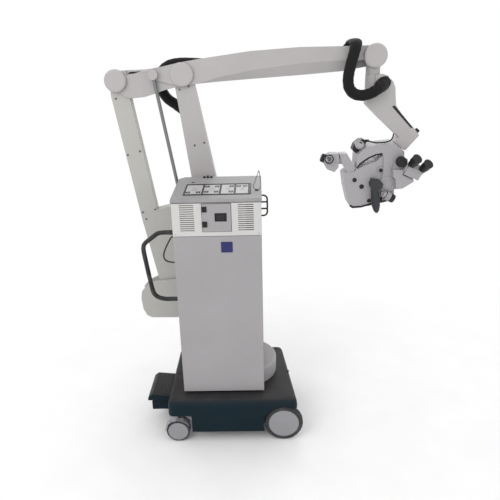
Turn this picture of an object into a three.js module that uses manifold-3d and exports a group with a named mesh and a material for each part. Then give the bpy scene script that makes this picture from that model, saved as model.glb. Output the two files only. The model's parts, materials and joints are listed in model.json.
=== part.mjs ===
// Floor-standing surgical microscope on a counterbalanced parallelogram stand.
// Millimetres, +Z up. The control cabinet's front faces -Y and the arm reaches towards +X.
// All coordinates below are measured from the cabinet's front plane (Y = 0) and the floor (Z = 0);
// the last lines move the whole object so that its origin is the centre of its footprint box.

import * as THREE from 'three';
import { mergeVertices } from 'three/addons/utils/BufferGeometryUtils.js';
import Module from 'manifold-3d';

const wasm = await Module();
wasm.setup();

// ---------------------------------------------------------------- driving dimensions

const DEG = Math.PI / 180;
const GAP = 0.3;              // between solids that touch on the real object
const ROUND = 32;             // segments of a large circle
const SMALL = 14;             // segments of a small circle

// linkage, as a side view in X and Z
const ARM_TILT = 4 * DEG;     // the arm rises towards its front end
const LINK_LEAN = 8.8 * DEG;  // both links lean back, towards -X, at the top
const ARM_FRONT = 966;        // elbow pivot to tip pivot
const ARM_REAR = 336;         // elbow pivot to tail pivot
const LINK_LENGTH = 1230;     // elbow pivot to root pivot
const ELBOW = { x: -370, z: 1835 };

const ARM_DIR = { x: Math.cos(ARM_TILT), z: Math.sin(ARM_TILT) };
const LINK_DIR = { x: Math.sin(LINK_LEAN), z: -Math.cos(LINK_LEAN) };
const along = (p, d, s) => ({ x: p.x + d.x * s, z: p.z + d.z * s });
const TIP = along(ELBOW, ARM_DIR, ARM_FRONT);
const TAIL = along(ELBOW, ARM_DIR, -ARM_REAR);
const ROOT = along(ELBOW, LINK_DIR, LINK_LENGTH);
const HEEL = along(TAIL, LINK_DIR, LINK_LENGTH);

// guide rod that holds the elbow lever level
const ROD_OFFSET = { x: -142, z: 2 };
const ROD_TOP = { x: ELBOW.x + ROD_OFFSET.x, z: ELBOW.z + ROD_OFFSET.z };
const ROD_FOOT = { x: ROOT.x + ROD_OFFSET.x, z: ROOT.z + ROD_OFFSET.z };
const TIE_RISE = 26;          // inner tie rod above the arm's pivot line

// layers in Y, front to back
const ARM_Y = [420, 510];
const ARM_WALL = 8;
const LINK_Y = [432, 498];
const LEVER_Y = [411, 418];
const ROD_Y = 400;
const MAST_Y = [380, 411];
const CHEEK_FRONT_Y = [415, 429];
const CHEEK_REAR_Y = [501, 515];
const MID_Y = 465;

// axles
const AXLE_R = 16;
const ROOT_AXLE_R = 20;
const HEEL_AXLE_R = 14;
const RUNNING = 0.5;          // radial clearance of every running fit

// cabinet
const CAB_X = [-405, 15];
const CAB_DEPTH = 366;
const CAB_BOTTOM = 262;
const PANEL_SPLIT = 1117;
const CAB_TOP_FRONT = 1282;
const CONSOLE_RISE = 29;      // console top surface, front to back
const SHEET = 4;

// base
const DECK_Z = 250;
const SKIRT_Z = 60;
const BASE_X = [-490, 185];
const BASE_Y = [-70, 490];
const COLUMN = { x: -105, y: 240 };
const TURRET_R = 190;
const TURRET_Z = [252, 340];

// wheels
const BIG_WHEEL = { r: 100, width: 40, x: [114, 18], y: [-46, 440] };
const CASTOR = { r: 62, x: -462, y: [-44, 424], trail: 20, wheel: 14, fork: 17 };

// neck and inclined arm
const NECK_R = 36;
const NECK_FOOT = 1815;
const SHOULDER_Y = [424, 506];
const ELBOW_FACE = new THREE.Vector3(739, MID_Y, 1455);
const OBLIQUE_AXIS = new THREE.Vector3(-0.647, 0, -0.7625).normalize();

// microscope
const TILT_PIVOT = { x: 683, z: 1258 };
const YOKE_R = 187;           // inner radius of the yoke about the tilt pivot
const YOKE_Y = [391, 539];
const YOKE_PLATE = 6;
const BODY_Y = [399, 531];
const BODY_ROLL = 10.6 * DEG; // the body's floor rises towards +X
const BASELINE = new THREE.Vector3(0.906, 0, -0.423);  // from left to right eyepiece
const EYE_AXIS = new THREE.Vector3(0.303, -0.7, 0.65).normalize();
const HINGE_BARREL = new THREE.Vector3(768, 358, 1354);

// hose
const HOSE_R = 28;

// ---------------------------------------------------------------- materials

const paint = (color, roughness = 0.5, metalness = 0.1) =>
  new THREE.MeshStandardMaterial({ color, roughness, metalness });
const LIGHT_GREY = paint(0xb9b7b5);
const PANEL_GREY = paint(0xaba8aa);
const VENT_WHITE = paint(0xd2d0cf);
const HEAD_GREY = paint(0xaeabb1);
const CHARCOAL = paint(0x26333c, 0.7);
const IRON = paint(0x3a3c40, 0.7, 0.6);
const STEEL = paint(0xb5b8bb, 0.3, 0.9);
const BLACK = paint(0x17181a, 0.6, 0);
const GRIP = paint(0x3f4146, 0.8, 0);
const TYRE = paint(0x303235, 0.8, 0);
const HUB = paint(0x9b9ba1, 0.5, 0);
const GLASS = paint(0xaec4cc, 0.05, 0);
const HOSE = paint(0x141416, 0.9, 0);

// ---------------------------------------------------------------- solids

// A closed BufferGeometry as a manifold solid.
function solid(geometry) {
  const bare = geometry.clone();
  bare.deleteAttribute('normal');
  bare.deleteAttribute('uv');
  const merged = mergeVertices(bare, 1e-3);
  const triVerts = new Uint32Array(merged.index.array);
  const vertProperties = new Float32Array(merged.attributes.position.array);
  return new wasm.Manifold(new wasm.Mesh({ numProp: 3, vertProperties, triVerts }));
}

function toGeometry(manifold) {
  const mesh = manifold.getMesh();
  const geometry = new THREE.BufferGeometry();
  geometry.setAttribute('position', new THREE.BufferAttribute(mesh.vertProperties, 3));
  geometry.setIndex(new THREE.BufferAttribute(mesh.triVerts, 1));
  geometry.computeVertexNormals();
  return geometry;
}

const join = (first, ...rest) => rest.reduce((sum, one) => sum.add(one), first);
const cut = (first, ...rest) => rest.reduce((sum, one) => sum.subtract(one), first);

function box(x, y, z) {
  const geometry = new THREE.BoxGeometry(x[1] - x[0], y[1] - y[0], z[1] - z[0]);
  geometry.translate((x[0] + x[1]) / 2, (y[0] + y[1]) / 2, (z[0] + z[1]) / 2);
  return solid(geometry);
}

// A cylinder or cone between two points.
function rod(from, to, r, rEnd = r, segments = SMALL) {
  const axis = to.clone().sub(from);
  const geometry = new THREE.CylinderGeometry(rEnd, r, axis.length(), segments);
  const up = new THREE.Vector3(0, 1, 0);
  geometry.applyQuaternion(new THREE.Quaternion().setFromUnitVectors(up, axis.clone().normalize()));
  const middle = from.clone().add(to).multiplyScalar(0.5);
  geometry.translate(middle.x, middle.y, middle.z);
  return solid(geometry);
}

// A disc or pin along Y, at a point of the side view.
function pin(p, r, y, segments = SMALL) {
  return rod(new THREE.Vector3(p.x, y[0], p.z), new THREE.Vector3(p.x, y[1], p.z), r, r, segments);
}

// A solid turned about Y: profile is a list of [radius, y] from one end of the axis to the other.
function turnedY(p, profile, segments = ROUND) {
  const geometry = new THREE.LatheGeometry(profile.map(([r, y]) => new THREE.Vector2(r, y)), segments);
  geometry.translate(p.x, 0, p.z);
  return outward(geometry);
}

// A solid turned about Z.
function turnedZ(p, profile, segments = ROUND) {
  const geometry = new THREE.LatheGeometry(profile.map(([r, z]) => new THREE.Vector2(r, z)), segments);
  geometry.rotateX(Math.PI / 2);
  geometry.translate(p.x, p.y, 0);
  return outward(geometry);
}

// Lathe profiles may run either way; the solid is turned inside out when its volume is negative.
function outward(geometry) {
  const bare = geometry.clone();
  bare.deleteAttribute('normal');
  bare.deleteAttribute('uv');
  const merged = mergeVertices(bare, 1e-3);
  const position = merged.attributes.position;
  const index = Array.from(merged.index.array);
  const kept = [];
  let volume = 0;
  for (let i = 0; i < index.length; i += 3) {
    const [a, b, c] = index.slice(i, i + 3);
    if (a === b || b === c || a === c) continue;
    const va = new THREE.Vector3().fromBufferAttribute(position, a);
    const vb = new THREE.Vector3().fromBufferAttribute(position, b);
    const vc = new THREE.Vector3().fromBufferAttribute(position, c);
    volume += va.dot(vb.cross(vc));
    kept.push([a, b, c]);
  }
  const triVerts = new Uint32Array(kept.flatMap((t) => (volume < 0 ? [t[0], t[2], t[1]] : t)));
  const vertProperties = new Float32Array(position.array);
  return new wasm.Manifold(new wasm.Mesh({ numProp: 3, vertProperties, triVerts }));
}

// A side-view outline of [x, z] points, extruded along Y.
function plate(points, y) {
  const shape = new THREE.Shape(points.map(([px, pz]) => new THREE.Vector2(px, pz)));
  const geometry = new THREE.ExtrudeGeometry(shape, { depth: y[1] - y[0], bevelEnabled: false });
  geometry.rotateX(Math.PI / 2);
  geometry.translate(0, y[1], 0);
  return solid(geometry);
}

// An end-view outline of [y, z] points, extruded along X.
function profileX(points, x) {
  const shape = new THREE.Shape(points.map(([py, pz]) => new THREE.Vector2(py, pz)));
  const geometry = new THREE.ExtrudeGeometry(shape, { depth: x[1] - x[0], bevelEnabled: false });
  const axes = new THREE.Matrix4().makeBasis(
    new THREE.Vector3(0, 1, 0), new THREE.Vector3(0, 0, 1), new THREE.Vector3(1, 0, 0));
  geometry.applyMatrix4(axes);
  geometry.translate(x[0], 0, 0);
  return solid(geometry);
}

// Points of an arc in the side view, from one angle to another in degrees.
function arc(centre, r, from, to, steps = 12) {
  const points = [];
  for (let i = 0; i <= steps; i += 1) {
    const a = (from + (to - from) * i / steps) * DEG;
    points.push([centre.x + r * Math.cos(a), centre.z + r * Math.sin(a)]);
  }
  return points;
}

// The outline around two discs and the straight tangents between them.
function strap(a, ra, b, rb, steps = 14) {
  const heading = Math.atan2(b.z - a.z, b.x - a.x) / DEG;
  const flare = Math.acos((ra - rb) / Math.hypot(b.x - a.x, b.z - a.z)) / DEG;
  return [
    ...arc(a, ra, heading + flare, heading + 360 - flare, steps),
    ...arc(b, rb, heading - flare, heading + flare, steps),
  ];
}

// A skin over sections that all have the same number of points, closed by flat end caps.
function loft(sections) {
  const n = sections[0].length;
  const points = sections.flat();
  const triangles = [];
  for (let s = 0; s + 1 < sections.length; s += 1) {
    for (let i = 0; i < n; i += 1) {
      const a = s * n + i;
      const b = s * n + (i + 1) % n;
      triangles.push([a, b, b + n], [a, b + n, a + n]);
    }
  }
  const last = (sections.length - 1) * n;
  for (let i = 1; i + 1 < n; i += 1) {
    triangles.push([0, i + 1, i], [last, last + i, last + i + 1]);
  }
  const geometry = new THREE.BufferGeometry();
  geometry.setAttribute('position', new THREE.Float32BufferAttribute(points.flat(), 3));
  geometry.setIndex(triangles.flat());
  return outward(geometry);
}

// A tube of round section along a list of points; corners are rounded by the curve itself.
function tube(points, r, sides, steps) {
  const curve = new THREE.CatmullRomCurve3(
    points.map(([x, y, z]) => new THREE.Vector3(x, y, z)), false, 'centripetal');
  const section = new THREE.Shape();
  for (let i = 0; i < sides; i += 1) {
    const a = 2 * Math.PI * i / sides;
    const move = i ? 'lineTo' : 'moveTo';
    section[move](r * Math.cos(a), r * Math.sin(a));
  }
  section.closePath();
  return solid(new THREE.ExtrudeGeometry(section, { steps, bevelEnabled: false, extrudePath: curve }));
}

// A rounded rectangle in plan, as a loft of stacked sections of [z, inset].
function roundedBlock(x, y, corner, levels, taper = 0) {
  const sections = levels.map(([z, inset]) => {
    const points = [];
    const corners = [[x[1], y[1], 0], [x[0], y[1], 90], [x[0], y[0], 180], [x[1], y[0], 270]];
    corners.forEach(([cx, cy, start]) => {
      const r = Math.max(corner - inset, 4);
      const sx = cx === x[1] ? -1 : 1;
      const sy = cy === y[1] ? -1 : 1;
      const lean = cx === x[1] && cy === y[1] ? taper : 0;
      for (let i = 0; i <= 5; i += 1) {
        const a = (start + 18 * i) * DEG;
        const px = cx - lean + sx * (inset + r) + r * Math.cos(a);
        const py = cy + sy * (inset + r) + r * Math.sin(a);
        points.push([px, py, z]);
      }
    });
    return points;
  });
  return loft(sections);
}

const assembly = new THREE.Group();
const cords = new THREE.Group();

function add(name, manifold, material, parent = assembly) {
  const mesh = new THREE.Mesh(toGeometry(manifold), material);
  mesh.name = name;
  parent.add(mesh);
}

// ---------------------------------------------------------------- base

const REAR_TAPER = 50;        // the shroud narrows towards its back right corner
const SPINDLE_R = 40;
const SPINDLE_TOP = 326;

function wheelWell(x, y) {
  return pin({ x, z: BIG_WHEEL.r }, BIG_WHEEL.r + 8, y, ROUND);
}

function castorWell(y) {
  const centre = new THREE.Vector3(CASTOR.x, y, 0);
  const r = CASTOR.r + CASTOR.trail + 18;
  return rod(centre, new THREE.Vector3(CASTOR.x, y, 158), r, r, ROUND);
}

function chassis() {
  const slab = box([-365, 10], [-10, 408], [62, 92]);
  const web = box([-365, -345], [-30, 430], [62, 178]);
  const castorBeam = box([-470, -345], [CASTOR.y[0], CASTOR.y[1]], [162, 178]);
  const sockets = CASTOR.y.map((y) => rod(
    new THREE.Vector3(CASTOR.x, y, 162), new THREE.Vector3(CASTOR.x, y, 190), 18));
  const wheelBeam = box([5, 125], [-18, 412], [70, 140]);
  const pedestal = turnedZ(COLUMN, [
    [0, 100], [130, 100], [130, 250], [SPINDLE_R, 250], [SPINDLE_R, SPINDLE_TOP], [0, SPINDLE_TOP],
  ]);
  const axles = BIG_WHEEL.y.map((y, i) => {
    const inner = y < 200 ? -18 : 412;
    const outer = y < 200 ? y - 18 : y + 18;
    const reach = [Math.min(inner, outer), Math.max(inner, outer)];
    return pin({ x: BIG_WHEEL.x[i], z: BIG_WHEEL.r }, 12, reach);
  });
  const stems = CASTOR.y.map((y) => rod(
    new THREE.Vector3(CASTOR.x, y, 150), new THREE.Vector3(CASTOR.x, y, 190), 12 + RUNNING));
  return cut(join(slab, web, castorBeam, wheelBeam, pedestal, ...axles, ...sockets), ...stems);
}

function baseShroud() {
  const outer = roundedBlock(BASE_X, BASE_Y, 36,
    [[SKIRT_Z, 0], [205, 0], [232, 5], [245, 13], [DECK_Z, 26]], REAR_TAPER);
  const inner = roundedBlock([BASE_X[0] + 5, BASE_X[1] - 5], [BASE_Y[0] + 5, BASE_Y[1] - 5], 31,
    [[SKIRT_Z - 5, 0], [203, 0], [229, 5], [240, 13], [DECK_Z - 5, 26]], REAR_TAPER);
  const mouth = rod(new THREE.Vector3(COLUMN.x, COLUMN.y, 240),
    new THREE.Vector3(COLUMN.x, COLUMN.y, 300), 150, 150, ROUND);
  const housing = plate([[-600, 95], [BASE_X[0] + 3, 95], [BASE_X[0] + 3, 166], [-506, 166], [-600, 146]],
    [84, 256]);
  return join(cut(outer, inner, mouth,
    wheelWell(BIG_WHEEL.x[0], [BASE_Y[0] - 10, -20]), wheelWell(BIG_WHEEL.x[1], [414, BASE_Y[1] + 10]),
    castorWell(CASTOR.y[0]), castorWell(CASTOR.y[1])), housing);
}

add('chassis', chassis(), IRON);
add('base_shroud', baseShroud(), CHARCOAL);

// Foot brake: a hinged pedal over a low housing on the left of the base.
const PEDAL_Y = [60, 280];
add('brake_pedal', join(
  plate([[-617, 170], [-609, 166], [-500, 172], [-494, 178], [-494, 196], [-590, 206], [-612, 190]],
    PEDAL_Y),
), BLACK);

// Wheels: two large rollers on the right, two twin castors on the left.
function bigWheel(x, y) {
  const half = BIG_WHEEL.width / 2;
  const profile = [
    [12 + RUNNING, -half + 2], [30, -half + 2], [76, -half + 2], [80, -half + 6], [92, -half + 3],
    [BIG_WHEEL.r - 3, -half + 5], [BIG_WHEEL.r, -half + 12], [BIG_WHEEL.r, half - 12],
    [BIG_WHEEL.r - 3, half - 5], [92, half - 3], [80, half - 6], [76, half - 2], [12 + RUNNING, half - 2],
    [12 + RUNNING, -half + 2],
  ];
  return turnedY({ x, z: BIG_WHEEL.r }, profile.map(([r, dy]) => [r, y + dy]), 32);
}

function castorFork(y) {
  const wheel = { x: CASTOR.x + CASTOR.trail, z: CASTOR.r };
  const web = plate([[wheel.x - 16, wheel.z - 14], [wheel.x + 16, wheel.z - 14],
    [wheel.x + 30, wheel.z + CASTOR.r + 8], [wheel.x - 34, wheel.z + CASTOR.r + 8]],
  [y - CASTOR.fork / 2, y + CASTOR.fork / 2]);
  const top = new THREE.Vector3(CASTOR.x, y, wheel.z + CASTOR.r);
  const collar = rod(top, new THREE.Vector3(CASTOR.x, y, 156), 24);
  const stem = rod(top, new THREE.Vector3(CASTOR.x, y, 186), 12);
  return cut(join(web, collar, stem), pin(wheel, 8 + RUNNING, [y - 30, y + 30]));
}

function castorWheel(y) {
  const wheel = { x: CASTOR.x + CASTOR.trail, z: CASTOR.r };
  const inner = CASTOR.fork / 2 + 1;
  const outer = inner + CASTOR.wheel;
  const disc = (side) => turnedY(wheel, [
    [0, y + side * inner], [CASTOR.r - 2, y + side * inner], [CASTOR.r, y + side * (inner + 4)],
    [CASTOR.r, y + side * (outer - 5)], [CASTOR.r - 3, y + side * (outer - 1)],
    [50, y + side * (outer - 1)], [47, y + side * outer], [0, y + side * outer],
  ], 24);
  return join(disc(-1), disc(1), pin(wheel, 8, [y - inner - 2, y + inner + 2]));
}

BIG_WHEEL.y.forEach((y, i) => add(['wheel_front', 'wheel_rear'][i], bigWheel(BIG_WHEEL.x[i], y), TYRE));
CASTOR.y.forEach((y, i) => {
  add(['castor_fork_front', 'castor_fork_rear'][i], castorFork(y), HUB);
  add(['castor_wheels_front', 'castor_wheels_rear'][i], castorWheel(y), TYRE);
});

// ---------------------------------------------------------------- turning column

add('turret', turnedZ(COLUMN, [
  [SPINDLE_R + RUNNING, TURRET_Z[0]], [70, TURRET_Z[0]], [70, 322], [180, 322],
  [180, TURRET_Z[0]], [TURRET_R, TURRET_Z[0]], [TURRET_R, 332], [182, TURRET_Z[1]],
  [0, TURRET_Z[1]], [0, 330], [SPINDLE_R + RUNNING, 330], [SPINDLE_R + RUNNING, TURRET_Z[0]],
], 40), LIGHT_GREY);

function mast() {
  const web = plate([[-280, TURRET_Z[1] + GAP], [8, TURRET_Z[1] + GAP], [8, 470], [-88, 700],
    [-250, 716], [-300, 690], [-300, 560]], MAST_Y);
  const lug = plate(strap({ x: -280, z: ROD_FOOT.z }, 34, ROD_FOOT, 20), [MAST_Y[0], MAST_Y[0] + 9]);
  const rodPin = pin(ROD_FOOT, 7, [MAST_Y[0] + 5, MAST_Y[1] - 1]);
  const rodSpace = plate(strap({ x: ROD_FOOT.x + 10, z: ROD_FOOT.z }, 26,
    { x: ROD_FOOT.x - 20, z: ROD_FOOT.z + 180 }, 26), [MAST_Y[0] + 9, MAST_Y[1] + 1]);
  return cut(join(cut(web, rodSpace), lug, rodPin), pin(ROOT, ROOT_AXLE_R + GAP, [370, 420], 28));
}
add('mast', mast(), IRON);
add('main_axle', join(pin(ROOT, ROOT_AXLE_R, [MAST_Y[0] - 4, 519], 28), pin(ROOT, 34, [519, 527], 28)),
  STEEL);

// Cabinet: an open sheet-metal box with a stepped foot around the turret.
function consoleHeight(y) {
  return CAB_TOP_FRONT + 14 + CONSOLE_RISE * y / CAB_DEPTH;
}

function cabinetShell() {
  const x = CAB_X;
  const back = CAB_DEPTH;
  const lid = 21;
  const outline = [[2, CAB_BOTTOM], [back, CAB_BOTTOM], [back, consoleHeight(back) - lid],
    [2, CAB_TOP_FRONT - 8]];
  const inner = [[-10, 200], [back - SHEET, 200], [back - SHEET, 1400], [-10, 1400]];
  const floor = box([x[0] + 2, x[1] - 2], [4, back - 2], [344, 348]);
  const walls = cut(profileX(outline, x), profileX(inner, [x[0] + SHEET, x[1] - SHEET]));
  const turretSpace = rod(new THREE.Vector3(COLUMN.x, COLUMN.y, 200),
    new THREE.Vector3(COLUMN.x, COLUMN.y, TURRET_Z[1] + 3), TURRET_R + 6, TURRET_R + 6, 40);
  const rearFoot = box([x[0] + 60, x[1] + 10], [300, back + 10], [200, TURRET_Z[1] + 3]);
  return cut(join(walls, floor), turretSpace, rearFoot);
}
add('cabinet_shell', cabinetShell(), PANEL_GREY);

const PANEL_Y = [-2, 1.7];
add('front_panel', box([CAB_X[0] + 1, CAB_X[1] - 1], PANEL_Y, [CAB_BOTTOM + 2, PANEL_SPLIT - 1]),
  PANEL_GREY);

const VENT_SLOTS = 13;
const VENT_GROUPS = [[-367, -300], [-94, -21]];
const DOOR_X = [-262, -127];
const DOOR_Z = [1140, 1274];

function ventPanel() {
  const sheet = box([CAB_X[0] + 1, CAB_X[1] - 1], PANEL_Y, [PANEL_SPLIT + 1, CAB_TOP_FRONT - 4.5]);
  const opening = box([DOOR_X[0] - 2, DOOR_X[1] + 2], [-5, 5], [DOOR_Z[0] - 2, DOOR_Z[1] + 2]);
  const slots = [];
  VENT_GROUPS.forEach((x) => {
    for (let i = 0; i < VENT_SLOTS; i += 1) {
      const z = 1146 + 10.2 * i;
      slots.push(box(x, [-5, 5], [z - 2, z + 2]));
    }
  });
  return cut(sheet, opening, ...slots);
}
add('vent_panel', ventPanel(), VENT_WHITE);

// Lamp door, hinged along its left edge, with a push latch.
add('lamp_door', cut(
  box(DOOR_X, [-5, 0], DOOR_Z),
  box([-200, -150], [-10, 5], [1193, 1227])), LIGHT_GREY);
add('door_latch', box([-199, -151], [-6, -1], [1194, 1226]), BLACK);

// Console: a sloping lid with a shallow tray for the key panel.
const KEY_X = [-355, -33];
const KEY_Y = [62, 234];
function consoleTop() {
  const h = consoleHeight;
  const outline = [[-4, CAB_TOP_FRONT], [-4, CAB_TOP_FRONT + 8], [4, h(4)],
    [CAB_DEPTH, h(CAB_DEPTH)], [CAB_DEPTH + 4, h(CAB_DEPTH) - 6], [CAB_DEPTH + 4, h(CAB_DEPTH) - 18],
    [CAB_DEPTH, h(CAB_DEPTH) - 20], [6, CAB_TOP_FRONT - 6]];
  const lid = profileX(outline, [CAB_X[0] - 3, CAB_X[1] + 3]);
  const tray = profileX([[KEY_Y[0], h(KEY_Y[0]) - 3], [KEY_Y[1], h(KEY_Y[1]) - 3],
    [KEY_Y[1], 1400], [KEY_Y[0], 1400]], KEY_X);
  const corner = new THREE.Vector3(CAB_X[0] - 3, CAB_DEPTH + 4, 1200);
  const chamfer = rod(corner, corner.clone().setZ(1400), 34, 34, 4);
  return cut(lid, tray, chamfer);
}
add('console_top', consoleTop(), PANEL_GREY);

// Black frame with four windows around the membrane keys; it lies in the tray.
const KEY_WIDTHS = [87, 84, 71, 68];
function keypadFrame() {
  const h = (y) => consoleHeight(y) - 3 + GAP;
  const y = [KEY_Y[0] + 1, KEY_Y[1] - 1];
  const slab = profileX([[y[0], h(y[0])], [y[1], h(y[1])], [y[1], h(y[1]) + 5], [y[0], h(y[0]) + 5]],
    [KEY_X[0] + 1, KEY_X[1] - 1]);
  const windows = [];
  let left = KEY_X[0] + 6;
  KEY_WIDTHS.forEach((width) => {
    const w = [[y[0] + 11, h(y[0] + 11) + 2], [y[1] - 11, h(y[1] - 11) + 2],
      [y[1] - 11, 1400], [y[0] + 11, 1400]];
    windows.push(profileX(w, [left, left + width - 6]));
    left += width;
  });
  return cut(slab, ...windows);
}
add('keypad_frame', keypadFrame(), BLACK);

// Inside the cabinet: power supply, fan and the lamp changer.
add('power_supply', box([-380, -180], [60, 220], [349, 469]), STEEL);

const FAN = { x: -57, z: 1206 };
add('fan_frame', cut(
  box([FAN.x - 45, FAN.x + 45], [50, 75], [FAN.z - 45, FAN.z + 45]),
  cut(pin(FAN, 41, [40, 80], 32), box([FAN.x - 50, FAN.x + 50], [70, 74], [FAN.z - 3, FAN.z + 3]),
    box([FAN.x - 3, FAN.x + 3], [70, 74], [FAN.z - 50, FAN.z + 50])),
), BLACK);
function fanRotor() {
  const blades = [];
  for (let i = 0; i < 7; i += 1) {
    const blade = new THREE.BoxGeometry(26, 2, 15);
    blade.rotateX(35 * DEG);
    blade.translate(25, 0, 0);
    blade.rotateY(2 * Math.PI * i / 7);
    blade.translate(FAN.x, 60, FAN.z);
    blades.push(solid(blade));
  }
  return join(pin(FAN, 15, [53, 67]), ...blades);
}
add('fan_rotor', fanRotor(), BLACK);

const LAMP = { x: [-236, -186], z: 1206 };
add('lamp_carriage', join(
  box([-250, -150], [24, 30], [1165, 1247]),
  ...LAMP.x.map((x) => rod(new THREE.Vector3(x + 10, 28, LAMP.z), new THREE.Vector3(x + 10, 70, LAMP.z),
    12, 21)),
), STEEL);

add('mains_inlet', cut(
  box([-95, -45], [CAB_DEPTH + GAP, CAB_DEPTH + 9], [800, 836]),
  box([-84, -56], [CAB_DEPTH + 3, CAB_DEPTH + 12], [808, 828])), BLACK);
const ROCKER = { y: CAB_DEPTH + 4, z: 818 };
add('power_switch', profileX([[CAB_DEPTH + GAP, 807], [CAB_DEPTH + 6, 807], [CAB_DEPTH + 4, 818],
  [CAB_DEPTH + 6, 829], [CAB_DEPTH + GAP, 829]].map(([y, z]) => [y + (y > 367 ? 0 : 2), z]),
[-32, -10]), BLACK);

// Padded push handle on the cabinet's left side.
const HANDLE_Y = 150;
const HANDLE = [[-405, 1092], [-440, 1092], [-478, 1092], [-506, 1087], [-540, 1063], [-570, 1040],
  [-582, 1020], [-583, 990], [-576, 930], [-566, 850], [-556, 785], [-548, 758], [-526, 738],
  [-495, 729], [-450, 728], [-405, 728]];
add('push_handle', tube(HANDLE.map(([x, z]) => [Math.min(x, CAB_X[0] - GAP), HANDLE_Y, z]), 12, 10, 32),
  BLACK);

// Cable hook on the right side: a bent bar with two rungs.
function cableHook() {
  const y = 40;
  const wall = CAB_X[1] + GAP;
  const bar = tube([[wall + 3, y, 1300], [wall + 16, y, 1299], [wall + 26, y, 1290], [wall + 28, y, 1270],
    [wall + 28, y, 1240], [wall + 26, y, 1212], [wall + 16, y, 1203], [wall, y, 1202]], 4, 8, 24);
  const rungs = [1268, 1236].map((z) => rod(new THREE.Vector3(wall, y, z),
    new THREE.Vector3(wall + 28, y, z), 4, 4, 8));
  return join(bar, ...rungs);
}
add('cable_hook', cableHook(), BLACK);

// Short lead that leaves and re-enters the cabinet's left side.
const LEAD_R = 4;
const LEAD_Y = 92;
const LEAD = [[-405, 1094], [-416, 1092], [-430, 1082], [-444, 1060], [-458, 1034], [-469, 1008],
  [-473, 988], [-468, 970], [-456, 960], [-438, 955], [-420, 953], [-405, 953]];
add('side_lead', tube(LEAD.map(([x, z]) => [Math.min(x, CAB_X[0] - 3), LEAD_Y, z]), LEAD_R, 8, 36),
  HOSE, cords);

// ---------------------------------------------------------------- right link, lever and guide rod

const LINK_TOP_R = 47;
const LINK_FOOT_R = 85;

// The link is a channel with its open side at the back, where the hose is clamped.
function rightLink() {
  const outer = plate(strap(ELBOW, LINK_TOP_R, ROOT, LINK_FOOT_R), LINK_Y);
  const pocket = plate(strap(along(ELBOW, LINK_DIR, 110), LINK_TOP_R - 8,
    along(ROOT, LINK_DIR, -130), LINK_FOOT_R - 14, 6), [LINK_Y[0] + 10, LINK_Y[1] + 1]);
  const crankSpace = pin(ELBOW, 72, [478, LINK_Y[1] + 1], ROUND);
  return cut(outer, pocket, crankSpace, pin(ELBOW, AXLE_R + RUNNING, [400, 520]),
    pin(ROOT, ROOT_AXLE_R + RUNNING, [400, 520], 28));
}
add('right_link', rightLink(), LIGHT_GREY);

// Gland where the hose leaves the right link's back.
const GLAND_AT = along(ELBOW, LINK_DIR, 640);
const HOSE_Y = ARM_Y[1] + HOSE_R + 10;
function hoseGland() {
  const top = along(GLAND_AT, LINK_DIR, -24);
  const foot = along(GLAND_AT, LINK_DIR, 24);
  const collar = rod(new THREE.Vector3(foot.x, HOSE_Y, foot.z), new THREE.Vector3(top.x, HOSE_Y, top.z),
    HOSE_R + 7, HOSE_R + 7, 24);
  const bore = rod(new THREE.Vector3(GLAND_AT.x, HOSE_Y, GLAND_AT.z),
    new THREE.Vector3(along(top, LINK_DIR, -5).x, HOSE_Y, along(top, LINK_DIR, -5).z),
    HOSE_R + 1, HOSE_R + 1, 24);
  const saddle = plate(strap(along(foot, LINK_DIR, 10), 62, along(top, LINK_DIR, -10), 60, 8),
    [LINK_Y[1] + GAP, LINK_Y[1] + 9]);
  const neck = plate(strap(foot, 16, along(GLAND_AT, LINK_DIR, -8), 16, 6),
    [LINK_Y[1] + 5, HOSE_Y - HOSE_R + 2]);
  return cut(join(collar, saddle, neck), bore);
}
add('hose_gland', hoseGland(), BLACK);

const CRANK_PIN = { x: ELBOW.x, z: ELBOW.z + TIE_RISE };
const TIE_END = { x: TIP.x, z: TIP.z + TIE_RISE };

// Elbow lever: cover disc and lever outside the arm, axle through it, crank for the tie rod inside it.
function leverPlate() {
  const web = plate(strap(ELBOW, 58, ROD_TOP, 24), LEVER_Y);
  const cap = turnedY(ELBOW, [[0, 402], [50, 402], [57, 405], [58, LEVER_Y[0] + 2], [0, LEVER_Y[0] + 2]]);
  const axle = pin(ELBOW, AXLE_R, [LEVER_Y[0] + 1, 520], 28);
  const nut = pin(ELBOW, 40, [513, 520], 28);
  const rodPin = pin(ROD_TOP, 7, [386, LEVER_Y[0] + 1]);
  const rodCap = pin(ROD_TOP, 25, [383, 388], 28);
  const crank = plate(strap(ELBOW, 24, CRANK_PIN, 12), [480, 487]);
  const crankPin = pin(CRANK_PIN, 5, [486, 500]);
  return join(web, cap, axle, nut, rodPin, rodCap, crank, crankPin);
}
add('elbow_lever', leverPlate(), LIGHT_GREY);

// Tie rod inside the arm that keeps the end bracket upright.
add('tie_rod', cut(
  plate(strap(CRANK_PIN, 9, TIE_END, 9), [489, 499]),
  pin(CRANK_PIN, 5 + RUNNING, [480, 505]), pin(TIE_END, 5 + RUNNING, [480, 505])), STEEL);

add('guide_rod', cut(
  join(
    rod(new THREE.Vector3(ROD_FOOT.x, ROD_Y, ROD_FOOT.z), new THREE.Vector3(ROD_TOP.x, ROD_Y, ROD_TOP.z), 9),
    pin(ROD_TOP, 15, [391, 409], 24),
    pin(ROD_FOOT, 17, [391, 409], 24)),
  pin(ROD_TOP, 7 + RUNNING, [380, 420]),
  pin(ROD_FOOT, 7 + RUNNING, [380, 420])), STEEL);

// ---------------------------------------------------------------- main arm

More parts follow.
